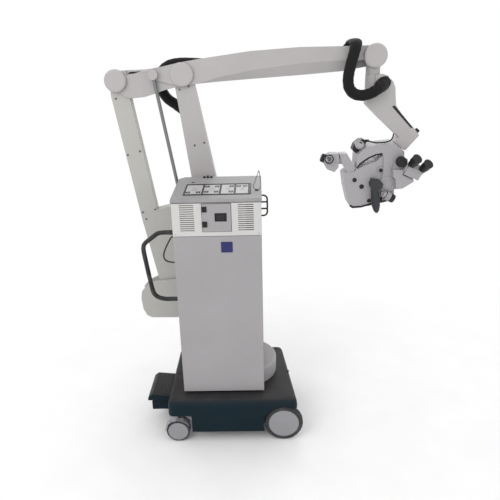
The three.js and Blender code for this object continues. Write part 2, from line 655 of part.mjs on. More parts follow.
// Stations along the arm: x, top, crease of the lower bevel, bottom.
const ARM_STATIONS = [
  [-705, 1858, 1767, 1766], [-668, 1860, 1736, 1735], [-636, 1861, 1725, 1724],
  [-564, 1862, 1731, 1730], [-507, 1868, 1747, 1746], [-460, 1876, 1763, 1762],
  [-370, 1893, 1780, 1779], [-281, 1906, 1791, 1789], [-175, 1919, 1820, 1796],
  [-26, 1937, 1846, 1804], [221, 1950, 1874, 1817], [451, 1949, 1884, 1832],
  [TIP.x, 1951, 1898, 1853],
];
const BEVEL_DEPTH = 34;

function armSection([x, top, crease, bottom], inset) {
  const bevel = Math.min(BEVEL_DEPTH, (crease - bottom) * 0.8);
  return [
    [x, ARM_Y[0] + inset, top - inset], [x, ARM_Y[0] + inset, crease],
    [x, ARM_Y[0] + inset + bevel, bottom + inset], [x, ARM_Y[1] - inset, bottom + inset],
    [x, ARM_Y[1] - inset, top - inset],
  ];
}

function armChannel(x) {
  const inside = [ARM_Y[0] + ARM_WALL, ARM_Y[1] - ARM_WALL];
  const tops = ARM_STATIONS.filter(([sx]) => sx > x[0] && sx < x[1]);
  const reach = [[x[0], x[2]], ...tops.map(([sx, top]) => [sx, top - ARM_WALL]), [x[1], x[3]]];
  return loft(reach.map(([sx, top]) => [
    [sx, inside[0], top], [sx, inside[0], 1600], [sx, inside[1], 1600], [sx, inside[1], top]]));
}

function armBeam() {
  const skin = loft(ARM_STATIONS.map((s) => armSection(s, 0)));
  const ends = [pin(TAIL, 46, ARM_Y, ROUND), pin(TIP, 49, ARM_Y, ROUND)];
  const hollow = loft(ARM_STATIONS.filter(([x]) => x > -300)
    .map((s) => armSection([s[0] + (s[0] > 500 ? 80 : 0), ...s.slice(1)], ARM_WALL)));
  const rearChannels = [armChannel([-770, -666, 1850, 1850]), armChannel([-667, -424, 1812, 1820]),
    armChannel([-425, -255, 1876, 1898])];
  const slope = loft([
    [[-650, ARM_Y[0] - 1, 1832], [-650, ARM_Y[0] + 36, 1865], [-650, ARM_Y[0] - 1, 1900]],
    [[-500, ARM_Y[0] - 1, 1868], [-500, ARM_Y[0] + 36, 1880], [-500, ARM_Y[0] - 1, 1900]]]);
  const frontChannel = armChannel([500, 670, 1941, 1943]);
  const holes = [TAIL, ELBOW, TIP].map((p) => pin(p, AXLE_R + RUNNING, [400, 530], 28));
  return cut(join(skin, ...ends), hollow, ...rearChannels, frontChannel, slope, ...holes);
}
add('arm_beam', armBeam(), LIGHT_GREY);

// ---------------------------------------------------------------- left link and balance weights

add('tail_pivot', join(
  turnedY(TAIL, [[0, 396], [44, 396], [54, 401], [56, 408], [56, 419], [AXLE_R, 419], [AXLE_R, 513],
    [0, 513]], 48),
  pin(TAIL, 34, [512, 518], 28)), LIGHT_GREY);

const SPLICE = 730;           // distance from the tail pivot to the end of the upper link tube
const LEFT_HALF = 46;
const acrossLink = (s, side) => {
  const p = along(TAIL, LINK_DIR, s);
  return [p.x - LINK_DIR.z * side, p.z + LINK_DIR.x * side];
};

// Left link: a hollow upper leg and a wide solid slab below it, which balances the head.
function leftLink() {
  const leg = plate([acrossLink(SPLICE + 30, LEFT_HALF), acrossLink(70, LEFT_HALF),
    ...arc(TAIL, LEFT_HALF - 9, -8.8, 171.2, 12), acrossLink(70, -LEFT_HALF),
    acrossLink(SPLICE + 30, -LEFT_HALF)], LINK_Y);
  const slab = plate([
    acrossLink(SPLICE, -LEFT_HALF), acrossLink(SPLICE, LEFT_HALF), acrossLink(SPLICE - 38, LEFT_HALF),
    [-471, 1154], [-428, 1162], [-418, 1150], [-452, 740], ...arc(HEEL, 46, 20, -170, 14), [-566, 690],
  ], LINK_Y);
  const pocket = plate([acrossLink(SPLICE - 60, LEFT_HALF - 8), acrossLink(100, LEFT_HALF - 8),
    acrossLink(100, 8 - LEFT_HALF), acrossLink(SPLICE - 60, 8 - LEFT_HALF)],
  [LINK_Y[0] + 10, LINK_Y[1] + 1]);
  return cut(join(leg, slab), pocket, pin(TAIL, AXLE_R + RUNNING, [400, 520], 28),
    pin(HEEL, HEEL_AXLE_R + RUNNING, [400, 520]));
}
add('left_link', leftLink(), LIGHT_GREY);

// Lower bar: two cheeks around the links' feet, with a floor and the heel axle between them.
const CHEEK = [
  [-594, 715], [-640, 694], [-676, 655], [-683, 610], [-676, 545], [-658, 506], [-630, 490],
  [-487, 488], [-330, 505], ...arc(ROOT, 74, -115, 80, 14), [-330, 712], [-487, 730],
];
function lowerBar() {
  const cheeks = [CHEEK_FRONT_Y, CHEEK_REAR_Y].map((y) => plate(CHEEK, y));
  const floor = box([-588, -310], [CHEEK_FRONT_Y[0] + 2, CHEEK_REAR_Y[1] - 2], [509, 519]);
  const axle = pin(HEEL, HEEL_AXLE_R, [CHEEK_FRONT_Y[0] + 1, CHEEK_REAR_Y[1] - 1]);
  return cut(join(...cheeks, floor, axle), pin(ROOT, ROOT_AXLE_R + RUNNING, [400, 530], 28));
}
add('lower_bar', lowerBar(), LIGHT_GREY);
add('counterweight', plate([[-672, 560], [-654, 524], [-592, 524], [-590, 562], [-638, 648], [-670, 620]],
  [CHEEK_FRONT_Y[1] + GAP, CHEEK_REAR_Y[0] - GAP]), IRON);

// ---------------------------------------------------------------- end bracket and inclined arm

const TIP_AXLE = [404, 518];
const SWIVEL_R = 18;
function endBracket() {
  const tongue = pin(TIP, 38, [431, 486], ROUND);
  const neck = rod(new THREE.Vector3(TIP.x, MID_Y, NECK_FOOT),
    new THREE.Vector3(TIP.x, MID_Y, 1880), NECK_R, NECK_R, 32);
  const axle = pin(TIP, AXLE_R, TIP_AXLE, 28);
  const nut = pin(TIP, 34, [512, 518], 28);
  const tiePin = pin(TIE_END, 5, [485, 500]);
  const bore = rod(new THREE.Vector3(TIP.x, MID_Y, NECK_FOOT - 5), new THREE.Vector3(TIP.x, MID_Y, 1864),
    SWIVEL_R + RUNNING);
  const cover = turnedY(TIP, [[0, 396], [46, 396], [56, 401], [58, 408], [58, 419], [0, 419]], 48);
  return cut(join(tongue, neck, axle, nut, tiePin, cover), bore);
}
add('end_bracket', endBracket(), LIGHT_GREY);

const SHOULDER = [
  [600, NECK_FOOT - 1], [640, NECK_FOOT - 1], [668, 1803], [692, 1775], [703, 1748], [707, 1705],
  [713, 1660], [740, 1622], [795, 1560], [812, 1545], [830, 1522], [842, 1506], [776, 1431],
  [766, 1433], [713, 1477], [737, 1500], [712, 1525], [633, 1597], [562, 1666], [561, 1700], [600, 1720],
];
const KNOB_AT = new THREE.Vector3(821, MID_Y - 10, 1509);
const KNOB_DIR = OBLIQUE_AXIS.clone().negate();
function shoulderArm() {
  const shaft = rod(new THREE.Vector3(TIP.x, MID_Y, 1800), new THREE.Vector3(TIP.x, MID_Y, 1862),
    SWIVEL_R, SWIVEL_R, 24);
  const spindle = rod(ELBOW_FACE.clone().addScaledVector(OBLIQUE_AXIS, -20),
    ELBOW_FACE.clone().addScaledVector(OBLIQUE_AXIS, 24), 20, 20, 24);
  const socket = rod(new THREE.Vector3(596, 380, 1731), new THREE.Vector3(668, 462, 1788),
    HOSE_R + 7, HOSE_R + 7, 20);
  const sleeve = rod(new THREE.Vector3(TIP.x, MID_Y, 1680), new THREE.Vector3(TIP.x, MID_Y, NECK_FOOT - 1),
    NECK_R + 1, NECK_R + 1, 32);
  const slot = plate([[650, 1690], [690, 1660], [690, 1640], [780, 1540], [745, 1512], [640, 1612],
    [600, 1650]], [434, 515]);
  const body = join(cut(plate(SHOULDER, SHOULDER_Y), slot), sleeve);
  const knobSeat = rod(KNOB_AT.clone().addScaledVector(KNOB_DIR, 16.6),
    KNOB_AT.clone().addScaledVector(KNOB_DIR, 50), 17, 17, 20);
  return cut(join(body, shaft, spindle), socket, knobSeat);
}
add('shoulder_arm', shoulderArm(), LIGHT_GREY);

add('friction_knob', rod(KNOB_AT.clone().addScaledVector(KNOB_DIR, 17),
  KNOB_AT.clone().addScaledVector(KNOB_DIR, 33), 14, 12, 20), BLACK);

// ---------------------------------------------------------------- yoke and microscope body

const polar = (r, a) => [TILT_PIVOT.x + r * Math.cos(a * DEG), TILT_PIVOT.z + r * Math.sin(a * DEG)];
const YOKE = [
  [713 - 2, 1477 - 2.4], [675, 1471], [618, 1466], [575, 1457], [547, 1441], [521, 1416],
  [519, 1353], [531, 1371], [546, 1383], [577, 1404], [614, 1420], [649, 1426], [657, 1400], [660, 1330],
  ...arc(TILT_PIVOT, 36, 150, 350, 12), [745, 1310], [764, 1400], [763, 1430],
];
function headYoke() {
  const rim = plate(YOKE, YOKE_Y);
  const room = pin(TILT_PIVOT, YOKE_R, [YOKE_Y[0] + YOKE_PLATE, YOKE_Y[1] - YOKE_PLATE], 64);
  const bore = rod(ELBOW_FACE.clone().addScaledVector(OBLIQUE_AXIS, -10),
    ELBOW_FACE.clone().addScaledVector(OBLIQUE_AXIS, 28), 20 + RUNNING, 20 + RUNNING, 24);
  const ledge = plate([[640, 1449], [700, 1449], [758, 1428], [757, 1412], [700, 1436], [660, 1442]],
    [440, 490]);
  const pins = [[YOKE_Y[0] - 6, YOKE_Y[0] + 2], [YOKE_Y[1] - 2, YOKE_Y[1] + 6]]
    .map((y) => pin(TILT_PIVOT, 25, y, 28));
  const studs = [[YOKE_Y[0] + 2, 414], [516, YOKE_Y[1] - 2]].map((y) => pin(TILT_PIVOT, 12, y));
  return cut(join(cut(rim, room), ledge, ...pins, ...studs), bore);
}
add('head_yoke', headYoke(), HEAD_GREY);

// The body keeps clear of the yoke's inner radius while it tilts.
const BODY = [
  [454, 1311], [465, 1236], [488, 1147], [506, 1131], [554, 1134], [613, 1150], [673, 1161],
  [709, 1169], [726, 1200], [724, 1226], [742, 1250], [744, 1300], [738, 1380],
  ...arc(TILT_PIVOT, 158, 70, 99, 6), [637, 1396], [623, 1380], [569, 1362], [525, 1343],
  [509, 1327], [470, 1325],
];
const FOCUS_DIR = new THREE.Vector3(0.877, 0, -0.48);
const FOCUS_AT = new THREE.Vector3(676, 372, 1206);
const focusAt = (k) => FOCUS_AT.clone().addScaledVector(FOCUS_DIR, k);
const OPTIC = { x: 600, z: 1145 };
const DOWN = new THREE.Vector3(Math.sin(BODY_ROLL), 0, -Math.cos(BODY_ROLL));
const onOptic = (s) => new THREE.Vector3(OPTIC.x, MID_Y, OPTIC.z).addScaledVector(DOWN, s);

function scaled(points, k, cx, cz) {
  return points.map(([x, z]) => [cx + (x - cx) * k, cz + (z - cz) * k]);
}

function microscopeBody() {
  const shell = plate(BODY, BODY_Y);
  const inside = plate(scaled(BODY, 0.91, 604, 1255), [BODY_Y[0] + 6, BODY_Y[1] - 6]);
  const bosses = [[BODY_Y[0] + 1, 424], [506, BODY_Y[1] - 1]].map((y) => pin(TILT_PIVOT, 22, y));
  const bores = [[380, 418], [512, 550]].map((y) => pin(TILT_PIVOT, 12 + RUNNING, y));
  const eyeHole = box([725, 760], [430, 500], [1262, 1288]);
  const elbow = join(plate([[477, 1318], [508, 1320], [514, 1350], [468, 1424], [428, 1424], [449, 1364]],
    [404, 466]), rod(new THREE.Vector3(460, 435, 1388), new THREE.Vector3(427, 435, 1388), 24, 24, 24));
  const bracket = rod(focusAt(-16), focusAt(-3), 18, 18, 24);
  const bracketFoot = box([652, 667], [372, BODY_Y[0] + 2], [1200, 1222]);
  return cut(join(cut(shell, inside), ...bosses, elbow, bracket, bracketFoot), ...bores,
    rod(onOptic(-40), onOptic(40), 34, 34, 28), eyeHole);
}
add('microscope_body', microscopeBody(), HEAD_GREY);

// Objective: a turning ring around the closed lower end of the zoom tube.
add('objective_ring', cut(rod(onOptic(-22), onOptic(13), 33, 33, 32),
  rod(onOptic(-30), onOptic(20), 26, 26, 28)), BLACK);
add('zoom_tube', cut(
  join(rod(onOptic(-170), onOptic(-24), 29, 29, 24), rod(onOptic(-26), onOptic(2), 26 - GAP, 26 - GAP, 28)),
  rod(onOptic(-180), onOptic(-8), 22, 22, 20)), GLASS);

add('focus_knob', rod(focusAt(-2), focusAt(48), 23, 22, 28), BLACK);

// ---------------------------------------------------------------- binocular tube

function binocularBase() {
  const bridge = plate([[745 + GAP, 1256], [770, 1252], [811, 1279], [815, 1298], [775, 1300],
    [745 + GAP, 1296]], [352, 500]);
  const block = plate([[702, 1345], [706, 1306], [749, 1290], [775, 1296], [815, 1298], [785, 1352],
    [776, 1395], [720, 1398]], [372, 388]);
  const front = plate([[702, 1343], [704, 1306], [718, 1292], [722, 1240], [757, 1244], [806, 1277],
    [814, 1297], [790, 1343]],
    [352, 388]);
  const yokeSpace = cut(
    pin(TILT_PIVOT, 200, [388.5, YOKE_Y[0] + YOKE_PLATE + 1.5], 48),
    plate([[770, 1200], [900, 1200], [900, 1302], [790, 1302]], [380, 410]));
  const barrel = rod(HINGE_BARREL.clone().addScaledVector(BASELINE, -9),
    HINGE_BARREL.clone().addScaledVector(BASELINE, -1), 25, 25, 24);
  const sweep = rod(HINGE_BARREL.clone(), HINGE_BARREL.clone().addScaledVector(BASELINE, 95), 43.5, 43.5, 28);
  return join(cut(join(bridge, block, front), yokeSpace, sweep), barrel);
}
add('binocular_base', binocularBase(), HEAD_GREY);

const IPD_KNOB = { x: 741, z: 1384 };
add('ipd_knob', turnedY(IPD_KNOB, [[0, 338], [22, 338], [26, 342], [28, 350], [28, 366],
  [24, 371.5], [0, 371.5]], 36), BLACK);

const UPWARD = new THREE.Vector3(0.423, 0, 0.906);
function orientedBox(centre, size) {
  const geometry = new THREE.BoxGeometry(size[0], size[1], size[2]);
  const matrix = new THREE.Matrix4().makeBasis(BASELINE.clone().normalize(), new THREE.Vector3(0, 1, 0),
    UPWARD.clone().normalize());
  geometry.applyMatrix4(matrix);
  geometry.translate(centre.x, centre.y, centre.z);
  return solid(geometry);
}

const EYE_SPACING = 64;
const EYE_MIDDLE = HINGE_BARREL.clone().addScaledVector(BASELINE, 42);

// Tilting head of the binocular tube, turning about the hinge barrel.
function binocularHead() {
  const barrel = rod(HINGE_BARREL.clone().addScaledVector(BASELINE, 1),
    HINGE_BARREL.clone().addScaledVector(BASELINE, 84), 25, 25, 28);
  const centre = HINGE_BARREL.clone().addScaledVector(BASELINE, 43).addScaledVector(UPWARD, -10);
  const rail = new THREE.BoxGeometry(82, 40, 14);
  const across = new THREE.Vector3().crossVectors(EYE_AXIS, BASELINE).normalize();
  const along2 = new THREE.Vector3().crossVectors(across, EYE_AXIS).normalize();
  rail.applyMatrix4(new THREE.Matrix4().makeBasis(along2, across, EYE_AXIS));
  const seat = EYE_MIDDLE.clone().addScaledVector(EYE_AXIS, 28);
  rail.translate(seat.x, seat.y, seat.z);
  return join(barrel, orientedBox(centre, [82, 40, 50]), solid(rail));
}
add('binocular_head', binocularHead(), LIGHT_GREY);

const eyeAt = (side, s) => EYE_MIDDLE.clone().addScaledVector(BASELINE, side * EYE_SPACING / 2)
  .addScaledVector(EYE_AXIS, s);
[['eyepiece_left', -1], ['eyepiece_right', 1]].forEach(([name, side]) => {
  add(name, join(
    rod(eyeAt(side, 35.6), eyeAt(side, 60), 20, 22, 24),
    rod(eyeAt(side, 59), eyeAt(side, 80), 24, 24, 24),
    rod(eyeAt(side, 79), eyeAt(side, 92), 24, 26, 24)), BLACK);
});

// ---------------------------------------------------------------- observer tube, camera, grips

const OBSERVER_SIGHT = new THREE.Vector3(-0.12, -0.9, 0.42).normalize();
const OBSERVER_EYE = new THREE.Vector3(376, 404, 1388);
const sightAt = (k) => OBSERVER_EYE.clone().addScaledVector(OBSERVER_SIGHT, k);
function observerTube() {
  const block = plate([[426, 1352], [426, 1418], [418, 1424], [378, 1424], [352, 1404], [350, 1372],
    [366, 1344], [404, 1328]], [398, 470]);
  const eyepiece = join(rod(sightAt(-14), sightAt(22), 19, 19, 24), rod(sightAt(21), sightAt(34), 19, 22, 24));
  const sideCap = rod(new THREE.Vector3(358, 434, 1394), new THREE.Vector3(338, 434, 1402), 20, 18, 24);
  return join(block, eyepiece, sideCap);
}
add('observer_tube', observerTube(), HEAD_GREY);

// Camera on top of the yoke.
add('camera', join(
  plate([[520, 1419], [546, 1443], [570, 1457], [572, 1478], [560, 1491], [536, 1488], [510, 1466],
    [500, 1436]].map(([x, z]) => [x - 1, z + 1.2]), [430, 500])), BLACK);

// Hand grips on both sides of the body, each on a turning block with a release button.
const GRIP_PIVOT = { x: 613, z: 1266 };
const GRIP_AXIS = new THREE.Vector3(0.13, 0, -0.99).normalize();
function handGrip(y, side) {
  const layer = (from, to) => [y + side * from, y + side * to].sort((a, b) => a - b);
  const neck = pin(GRIP_PIVOT, 25, layer(GAP, 16), 28);
  const block = plate([[592, 1297], [636, 1290], [656, 1268], [650, 1244], [628, 1236], [600, 1238],
    [588, 1256]], layer(15, 44));
  const start = new THREE.Vector3(614, y + side * 29, 1242);
  const station = (s, rx, ry) => {
    const points = [];
    for (let i = 0; i < 14; i += 1) {
      const a = 2 * Math.PI * i / 14 * -side;
      const p = start.clone().addScaledVector(GRIP_AXIS, s);
      points.push([p.x + rx * Math.cos(a), p.y + ry * Math.sin(a), p.z]);
    }
    return points;
  };
  const handle = loft([station(-20, 16, 15), station(10, 20, 18), station(60, 24, 20),
    station(95, 22, 18), station(120, 15, 13), station(132, 7, 7)]);
  return join(block, neck, handle);
}
add('hand_grip_front', handGrip(BODY_Y[0], -1), GRIP);
add('hand_grip_rear', handGrip(BODY_Y[1], 1), GRIP);

// ---------------------------------------------------------------- hose and head lead

// Rings of points around a curve; every piece of the hose is skinned over a run of them.
function rings(points, r, sides, steps) {
  const curve = new THREE.CatmullRomCurve3(
    points.map(([x, y, z]) => new THREE.Vector3(x, y, z)), false, 'centripetal');
  const frames = curve.computeFrenetFrames(steps, false);
  return curve.getSpacedPoints(steps).map((centre, i) => {
    const ring = [];
    for (let k = 0; k < sides; k += 1) {
      const a = 2 * Math.PI * k / sides;
      const p = centre.clone().addScaledVector(frames.normals[i], r * Math.cos(a))
        .addScaledVector(frames.binormals[i], r * Math.sin(a));
      ring.push([p.x, p.y, p.z]);
    }
    return ring;
  });
}

// Route of the hose: up the right link's back, round the elbow, along the arm's back,
// over the arm's top and down in front of it to the shoulder.
const HOSE_START = along(GLAND_AT, LINK_DIR, -0.5);
const HOSE_ROUTE = [
  [HOSE_START.x, HOSE_Y, HOSE_START.z], [-287, HOSE_Y, 1300], [-303, HOSE_Y, 1400],
  [-320, HOSE_Y, 1500], [-340, HOSE_Y, 1575], [-375, HOSE_Y, 1635], [-425, HOSE_Y, 1678],
  [-470, HOSE_Y, 1712], [-497, HOSE_Y, 1758], [-503, HOSE_Y, 1806], [-488, HOSE_Y, 1849],
  [-450, HOSE_Y, 1877], [-400, HOSE_Y, 1887], [-330, HOSE_Y, 1886], [-240, HOSE_Y, 1880],
  [-100, HOSE_Y, 1880], [60, HOSE_Y, 1888], [200, HOSE_Y, 1894], [310, HOSE_Y, 1896],
  [385, HOSE_Y + 2, 1900], [432, HOSE_Y + 3, 1910], [466, HOSE_Y + 3, 1930], [486, 545, 1955],
  [494, 524, 1969], [497, 496, 1970], [496, 466, 1970], [494, 434, 1969], [491, 402, 1963], [487, 382, 1942],
  [479, 378, 1908], [468, 379, 1866], [459, 380, 1822], [457, 381, 1786], [465, 382, 1751],
  [490, 383, 1725], [526, 381, 1716], [562, 380, 1722], [594, 384, 1736], [622, 400, 1752],
  [642, 428, 1768], [656, 448, 1779],
];
const HOSE_STEPS = 64;
// Where the hose lies across the arm's top its sleeve is pressed flat.
function flattened(ring) {
  const middle = [0, 1, 2].map((axis) => ring.reduce((sum, p) => sum + p[axis], 0) / ring.length);
  const press = THREE.MathUtils.smoothstep(middle[2], 1925, 1962);
  return ring.map((p) => [middle[0] + (p[0] - middle[0]) * (1 + 0.3 * press), p[1],
    middle[2] + (p[2] - middle[2]) * (1 - 0.43 * press)]);
}
const HOSE_RINGS = rings(HOSE_ROUTE, HOSE_R, 10, HOSE_STEPS).map(flattened);
const ringX = (i) => HOSE_RINGS[i].reduce((sum, p) => sum + p[0], 0) / HOSE_RINGS[i].length;
const ringZ = (i) => HOSE_RINGS[i].reduce((sum, p) => sum + p[2], 0) / HOSE_RINGS[i].length;

// First ring that satisfies a test, counted from a given ring.
function ringWhere(test, from = 0) {
  let i = from;
  while (!test(i)) i += 1;
  return i;
}
const HOSE_BREAKS = [0];
HOSE_BREAKS.push(ringWhere((i) => ringZ(i) > 1800));
HOSE_BREAKS.push(ringWhere((i) => ringX(i) > 320));
HOSE_BREAKS.push(ringWhere((i) => ringZ(i) < 1885, ringWhere((i) => ringX(i) > 480)));
HOSE_BREAKS.push(HOSE_STEPS);

['hose_lower', 'hose_upper', 'hose_front', 'hose_shoulder'].forEach((name, i) => {
  const run = HOSE_RINGS.slice(HOSE_BREAKS[i], HOSE_BREAKS[i + 1] + 1);
  const first = run[0].map((p, k) => p.map((c, axis) => c + 0.01 * (run[1][k][axis] - c)));
  add(name, loft([first, ...run.slice(1)]), HOSE, cords);
});

const HEAD_LEAD_R = 4;
const HEAD_LEAD = [[715, 448, 1514], [709, 436, 1499], [697, 423, 1486], [676, 413, 1479],
  [648, 410, 1476], [622, 414, 1475], [600, 428, 1477], [586, 444, 1480], [576, 456, 1480]];
add('head_lead', tube(HEAD_LEAD, HEAD_LEAD_R, 8, 24), HOSE, cords);

// ---------------------------------------------------------------- origin

// The origin is the bottom centre of the rigid object's box, cords left out.
const bounds = new THREE.Box3().setFromObject(assembly);
const middle = bounds.getCenter(new THREE.Vector3());
const group = new THREE.Group();
group.add(assembly, cords);
group.position.set(-middle.x, -middle.y, -bounds.min.z);

export default group;
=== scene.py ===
"""Floor-standing surgical microscope: looks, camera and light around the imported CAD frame."""

import json
import math
import random

import bmesh
import bpy
from mathutils import Matrix, Vector


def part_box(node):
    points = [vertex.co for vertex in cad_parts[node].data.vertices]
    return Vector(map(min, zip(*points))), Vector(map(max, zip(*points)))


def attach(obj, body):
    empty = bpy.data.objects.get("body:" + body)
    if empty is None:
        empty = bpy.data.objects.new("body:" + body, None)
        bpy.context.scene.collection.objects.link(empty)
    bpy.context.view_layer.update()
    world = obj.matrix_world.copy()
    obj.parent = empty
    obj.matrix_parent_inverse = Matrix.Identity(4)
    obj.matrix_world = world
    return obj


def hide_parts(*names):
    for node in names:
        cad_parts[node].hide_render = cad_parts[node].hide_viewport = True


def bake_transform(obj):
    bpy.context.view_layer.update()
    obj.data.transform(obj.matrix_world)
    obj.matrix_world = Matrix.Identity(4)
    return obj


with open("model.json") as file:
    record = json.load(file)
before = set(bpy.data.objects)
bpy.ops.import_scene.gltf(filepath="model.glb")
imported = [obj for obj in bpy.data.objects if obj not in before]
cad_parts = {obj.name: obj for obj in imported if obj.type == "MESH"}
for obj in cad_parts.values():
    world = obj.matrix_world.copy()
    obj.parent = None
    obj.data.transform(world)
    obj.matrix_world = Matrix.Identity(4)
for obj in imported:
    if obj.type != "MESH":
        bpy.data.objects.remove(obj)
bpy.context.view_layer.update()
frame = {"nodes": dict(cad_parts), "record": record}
nodes = frame["nodes"]

# The CAD model's own origin: (0, 0) of its side views in metres, found from two known places.
SHIFT_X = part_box("cabinet_shell")[1].x - 0.015
SHIFT_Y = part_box("front_panel")[0].y + 0.002
MM = 0.001


def at(x, y, z):
    """A place given in the CAD source's millimetres, in metres in the shared frame."""
    return Vector((x * MM + SHIFT_X, y * MM + SHIFT_Y, z * MM))


# ---------------------------------------------------------------- camera

CAMERA_PLACE = at(0, -2420, 1906)
PITCH = math.radians(19.6)
YAW = math.radians(1.0)
ROLL = math.radians(1.4)
FOCAL_IN_WIDTHS = 1.08
SENSOR_WIDTH = 36


def make_camera():
    """The photo's camera, turned left by YAW, down by PITCH and about its own axis by ROLL."""
    level = math.cos(PITCH)
    forward = Vector((-math.sin(YAW) * level, math.cos(YAW) * level, -math.sin(PITCH)))
    right = forward.cross(Vector((0, 0, 1))).normalized()
    up = right.cross(forward)
    rolled_right = right * math.cos(ROLL) - up * math.sin(ROLL)
    rolled_up = right * math.sin(ROLL) + up * math.cos(ROLL)
    data = bpy.data.cameras.new("camera")
    data.sensor_width = SENSOR_WIDTH
    data.lens = SENSOR_WIDTH * FOCAL_IN_WIDTHS
    camera = bpy.data.objects.new("camera", data)
    bpy.context.scene.collection.objects.link(camera)
    turn = Matrix((rolled_right, rolled_up, -forward)).transposed().to_4x4()
    camera.matrix_world = Matrix.Translation(CAMERA_PLACE) @ turn
    bpy.context.scene.camera = camera


make_camera()

# ---------------------------------------------------------------- materials


class Shader:
    """A Principled material with a few helpers for procedural inputs."""

    def __init__(self, name):
        self.material = bpy.data.materials.new(name)
        self.material.use_nodes = True
        self.tree = self.material.node_tree
        self.shader = self.tree.nodes["Principled BSDF"]
        self.place = self.node("ShaderNodeTexCoord").outputs["Object"]

    def node(self, kind, **settings):
        """A new shader node with the given settings."""
        made = self.tree.nodes.new(kind)
        for key, value in settings.items():
            setattr(made, key, value)
        return made

    def link(self, source, target):
        """Feeds an output into an input."""
        self.tree.links.new(source, target)

    def scaled_place(self, scale):
        """Object coordinates, scaled along each axis."""
        mapping = self.node("ShaderNodeMapping")
        mapping.inputs["Scale"].default_value = scale
        self.link(self.place, mapping.inputs["Vector"])
        return mapping.outputs["Vector"]

    def noise(self, scale, detail=4.0, rough=0.55, stretch=None, distortion=0.0):
        """Fractal noise, stretched along the axes if asked."""
        made = self.node("ShaderNodeTexNoise")
        made.inputs["Scale"].default_value = scale
        made.inputs["Detail"].default_value = detail
        made.inputs["Roughness"].default_value = rough
        made.inputs["Distortion"].default_value = distortion
        self.link(self.scaled_place(stretch) if stretch else self.place, made.inputs["Vector"])
        return made.outputs["Fac"]

    def ramp(self, source, stops):
        """A colour ramp through (position, colour) stops."""
        made = self.node("ShaderNodeValToRGB")
        elements = made.color_ramp.elements
        while len(elements) < len(stops):
            elements.new(0.5)
        for element, (where, color) in zip(elements, stops):
            element.position = where
            element.color = (*color, 1) if len(color) == 3 else color
        self.link(source, made.inputs["Fac"])
        return made.outputs["Color"]

    def span(self, source, low, high, start=0.0, end=1.0):
        """Maps a value's stretch from start to end onto low to high."""
        made = self.node("ShaderNodeMapRange")
        made.inputs["From Min"].default_value = start
        made.inputs["From Max"].default_value = end
        made.inputs["To Min"].default_value = low
        made.inputs["To Max"].default_value = high
        self.link(source, made.inputs["Value"])
        return made.outputs["Result"]

    def mix(self, factor, first, second):
        """A blend of two colours. Inputs 0, 6 and 7 are the node's factor and its two colours."""
        made = self.node("ShaderNodeMix", data_type="RGBA")
        sources = (factor, first, second)
        for source, target in zip(sources, (made.inputs[0], made.inputs[6], made.inputs[7])):
            if isinstance(source, bpy.types.NodeSocket):
                self.link(source, target)
            elif isinstance(source, (int, float)):
                target.default_value = source
            else:
                target.default_value = (*source, 1)
        return made.outputs[2]

    def bump(self, height, strength, distance):
        """A surface normal from a height, over a depth in metres."""
        made = self.node("ShaderNodeBump")
        made.inputs["Strength"].default_value = strength
        made.inputs["Distance"].default_value = distance
        self.link(height, made.inputs["Height"])
        return made.outputs["Normal"]

    def set(self, color, rough, normal=None, **fixed):
        """Fills the Principled inputs. Further inputs are named with underscores."""
        self.assign("Base Color", color)
        self.assign("Roughness", rough)
        if normal is not None:
            self.assign("Normal", normal)
        for key, value in fixed.items():
            self.shader.inputs[key.replace("_", " ")].default_value = value
        return self.material

    def assign(self, name, value):
        """Links or sets one Principled input."""
        target = self.shader.inputs[name]
        if isinstance(value, bpy.types.NodeSocket):
            self.link(value, target)
        elif isinstance(value, tuple):
            target.default_value = (*value, 1)
        else:
            target.default_value = value


def shade(color, k):
    """A colour k times as bright."""
    return tuple(min(1.0, c * k) for c in color)


def enamel(name, color, rough=0.42, soil=0.10, peel=0.25):
    """Sprayed enamel: orange peel, faint clouding, soiling that gathers in soft patches."""
    s = Shader(name)
    cloud = s.noise(2.6, 5, 0.6)
    patches = s.noise(9.0, 7, 0.68, distortion=0.4)
    tint = s.ramp(cloud, [(0.30, shade(color, 0.955)), (0.70, shade(color, 1.03))])
    dirt = s.span(patches, 0.0, soil, 0.52, 0.80)
    body = s.mix(dirt, tint, tuple(c * k for c, k in zip(color, (0.62, 0.58, 0.52))))
    grain = s.noise(520.0, 2, 0.5)
    return s.set(body, s.span(patches, rough - 0.05, rough + 0.10, 0.3, 0.75),
                 s.bump(grain, peel, 0.0003), Specular_IOR_Level=0.45)


def moulded(name, color, rough=0.5, pebble=0.35, scale=900.0, spread=0.12):
    """Moulded plastic with a fine pebble texture and slightly uneven sheen."""
    s = Shader(name)
    cloud = s.noise(7.0, 6, 0.65)
    tint = s.ramp(cloud, [(0.30, shade(color, 1 - spread)), (0.72, shade(color, 1 + spread))])
    cells = s.node("ShaderNodeTexVoronoi")
    cells.inputs["Scale"].default_value = scale
    s.link(s.place, cells.inputs["Vector"])
    return s.set(tint, s.span(cloud, rough - 0.06, rough + 0.10, 0.3, 0.7),
                 s.bump(cells.outputs["Distance"], pebble, 0.0003), Specular_IOR_Level=0.4)


def metal(name, color, rough=0.28, stretch=(40, 1, 1), strength=0.12):
    """Bare metal with drawn or turned streaks."""
    s = Shader(name)
    streaks = s.noise(60.0, 5, 0.7, stretch=stretch)
    tint = s.ramp(streaks, [(0.25, shade(color, 0.78)), (0.75, shade(color, 1.1))])
    return s.set(tint, s.span(streaks, rough - 0.08, rough + 0.14), s.bump(streaks, strength, 0.0002),
                 Metallic=1.0)


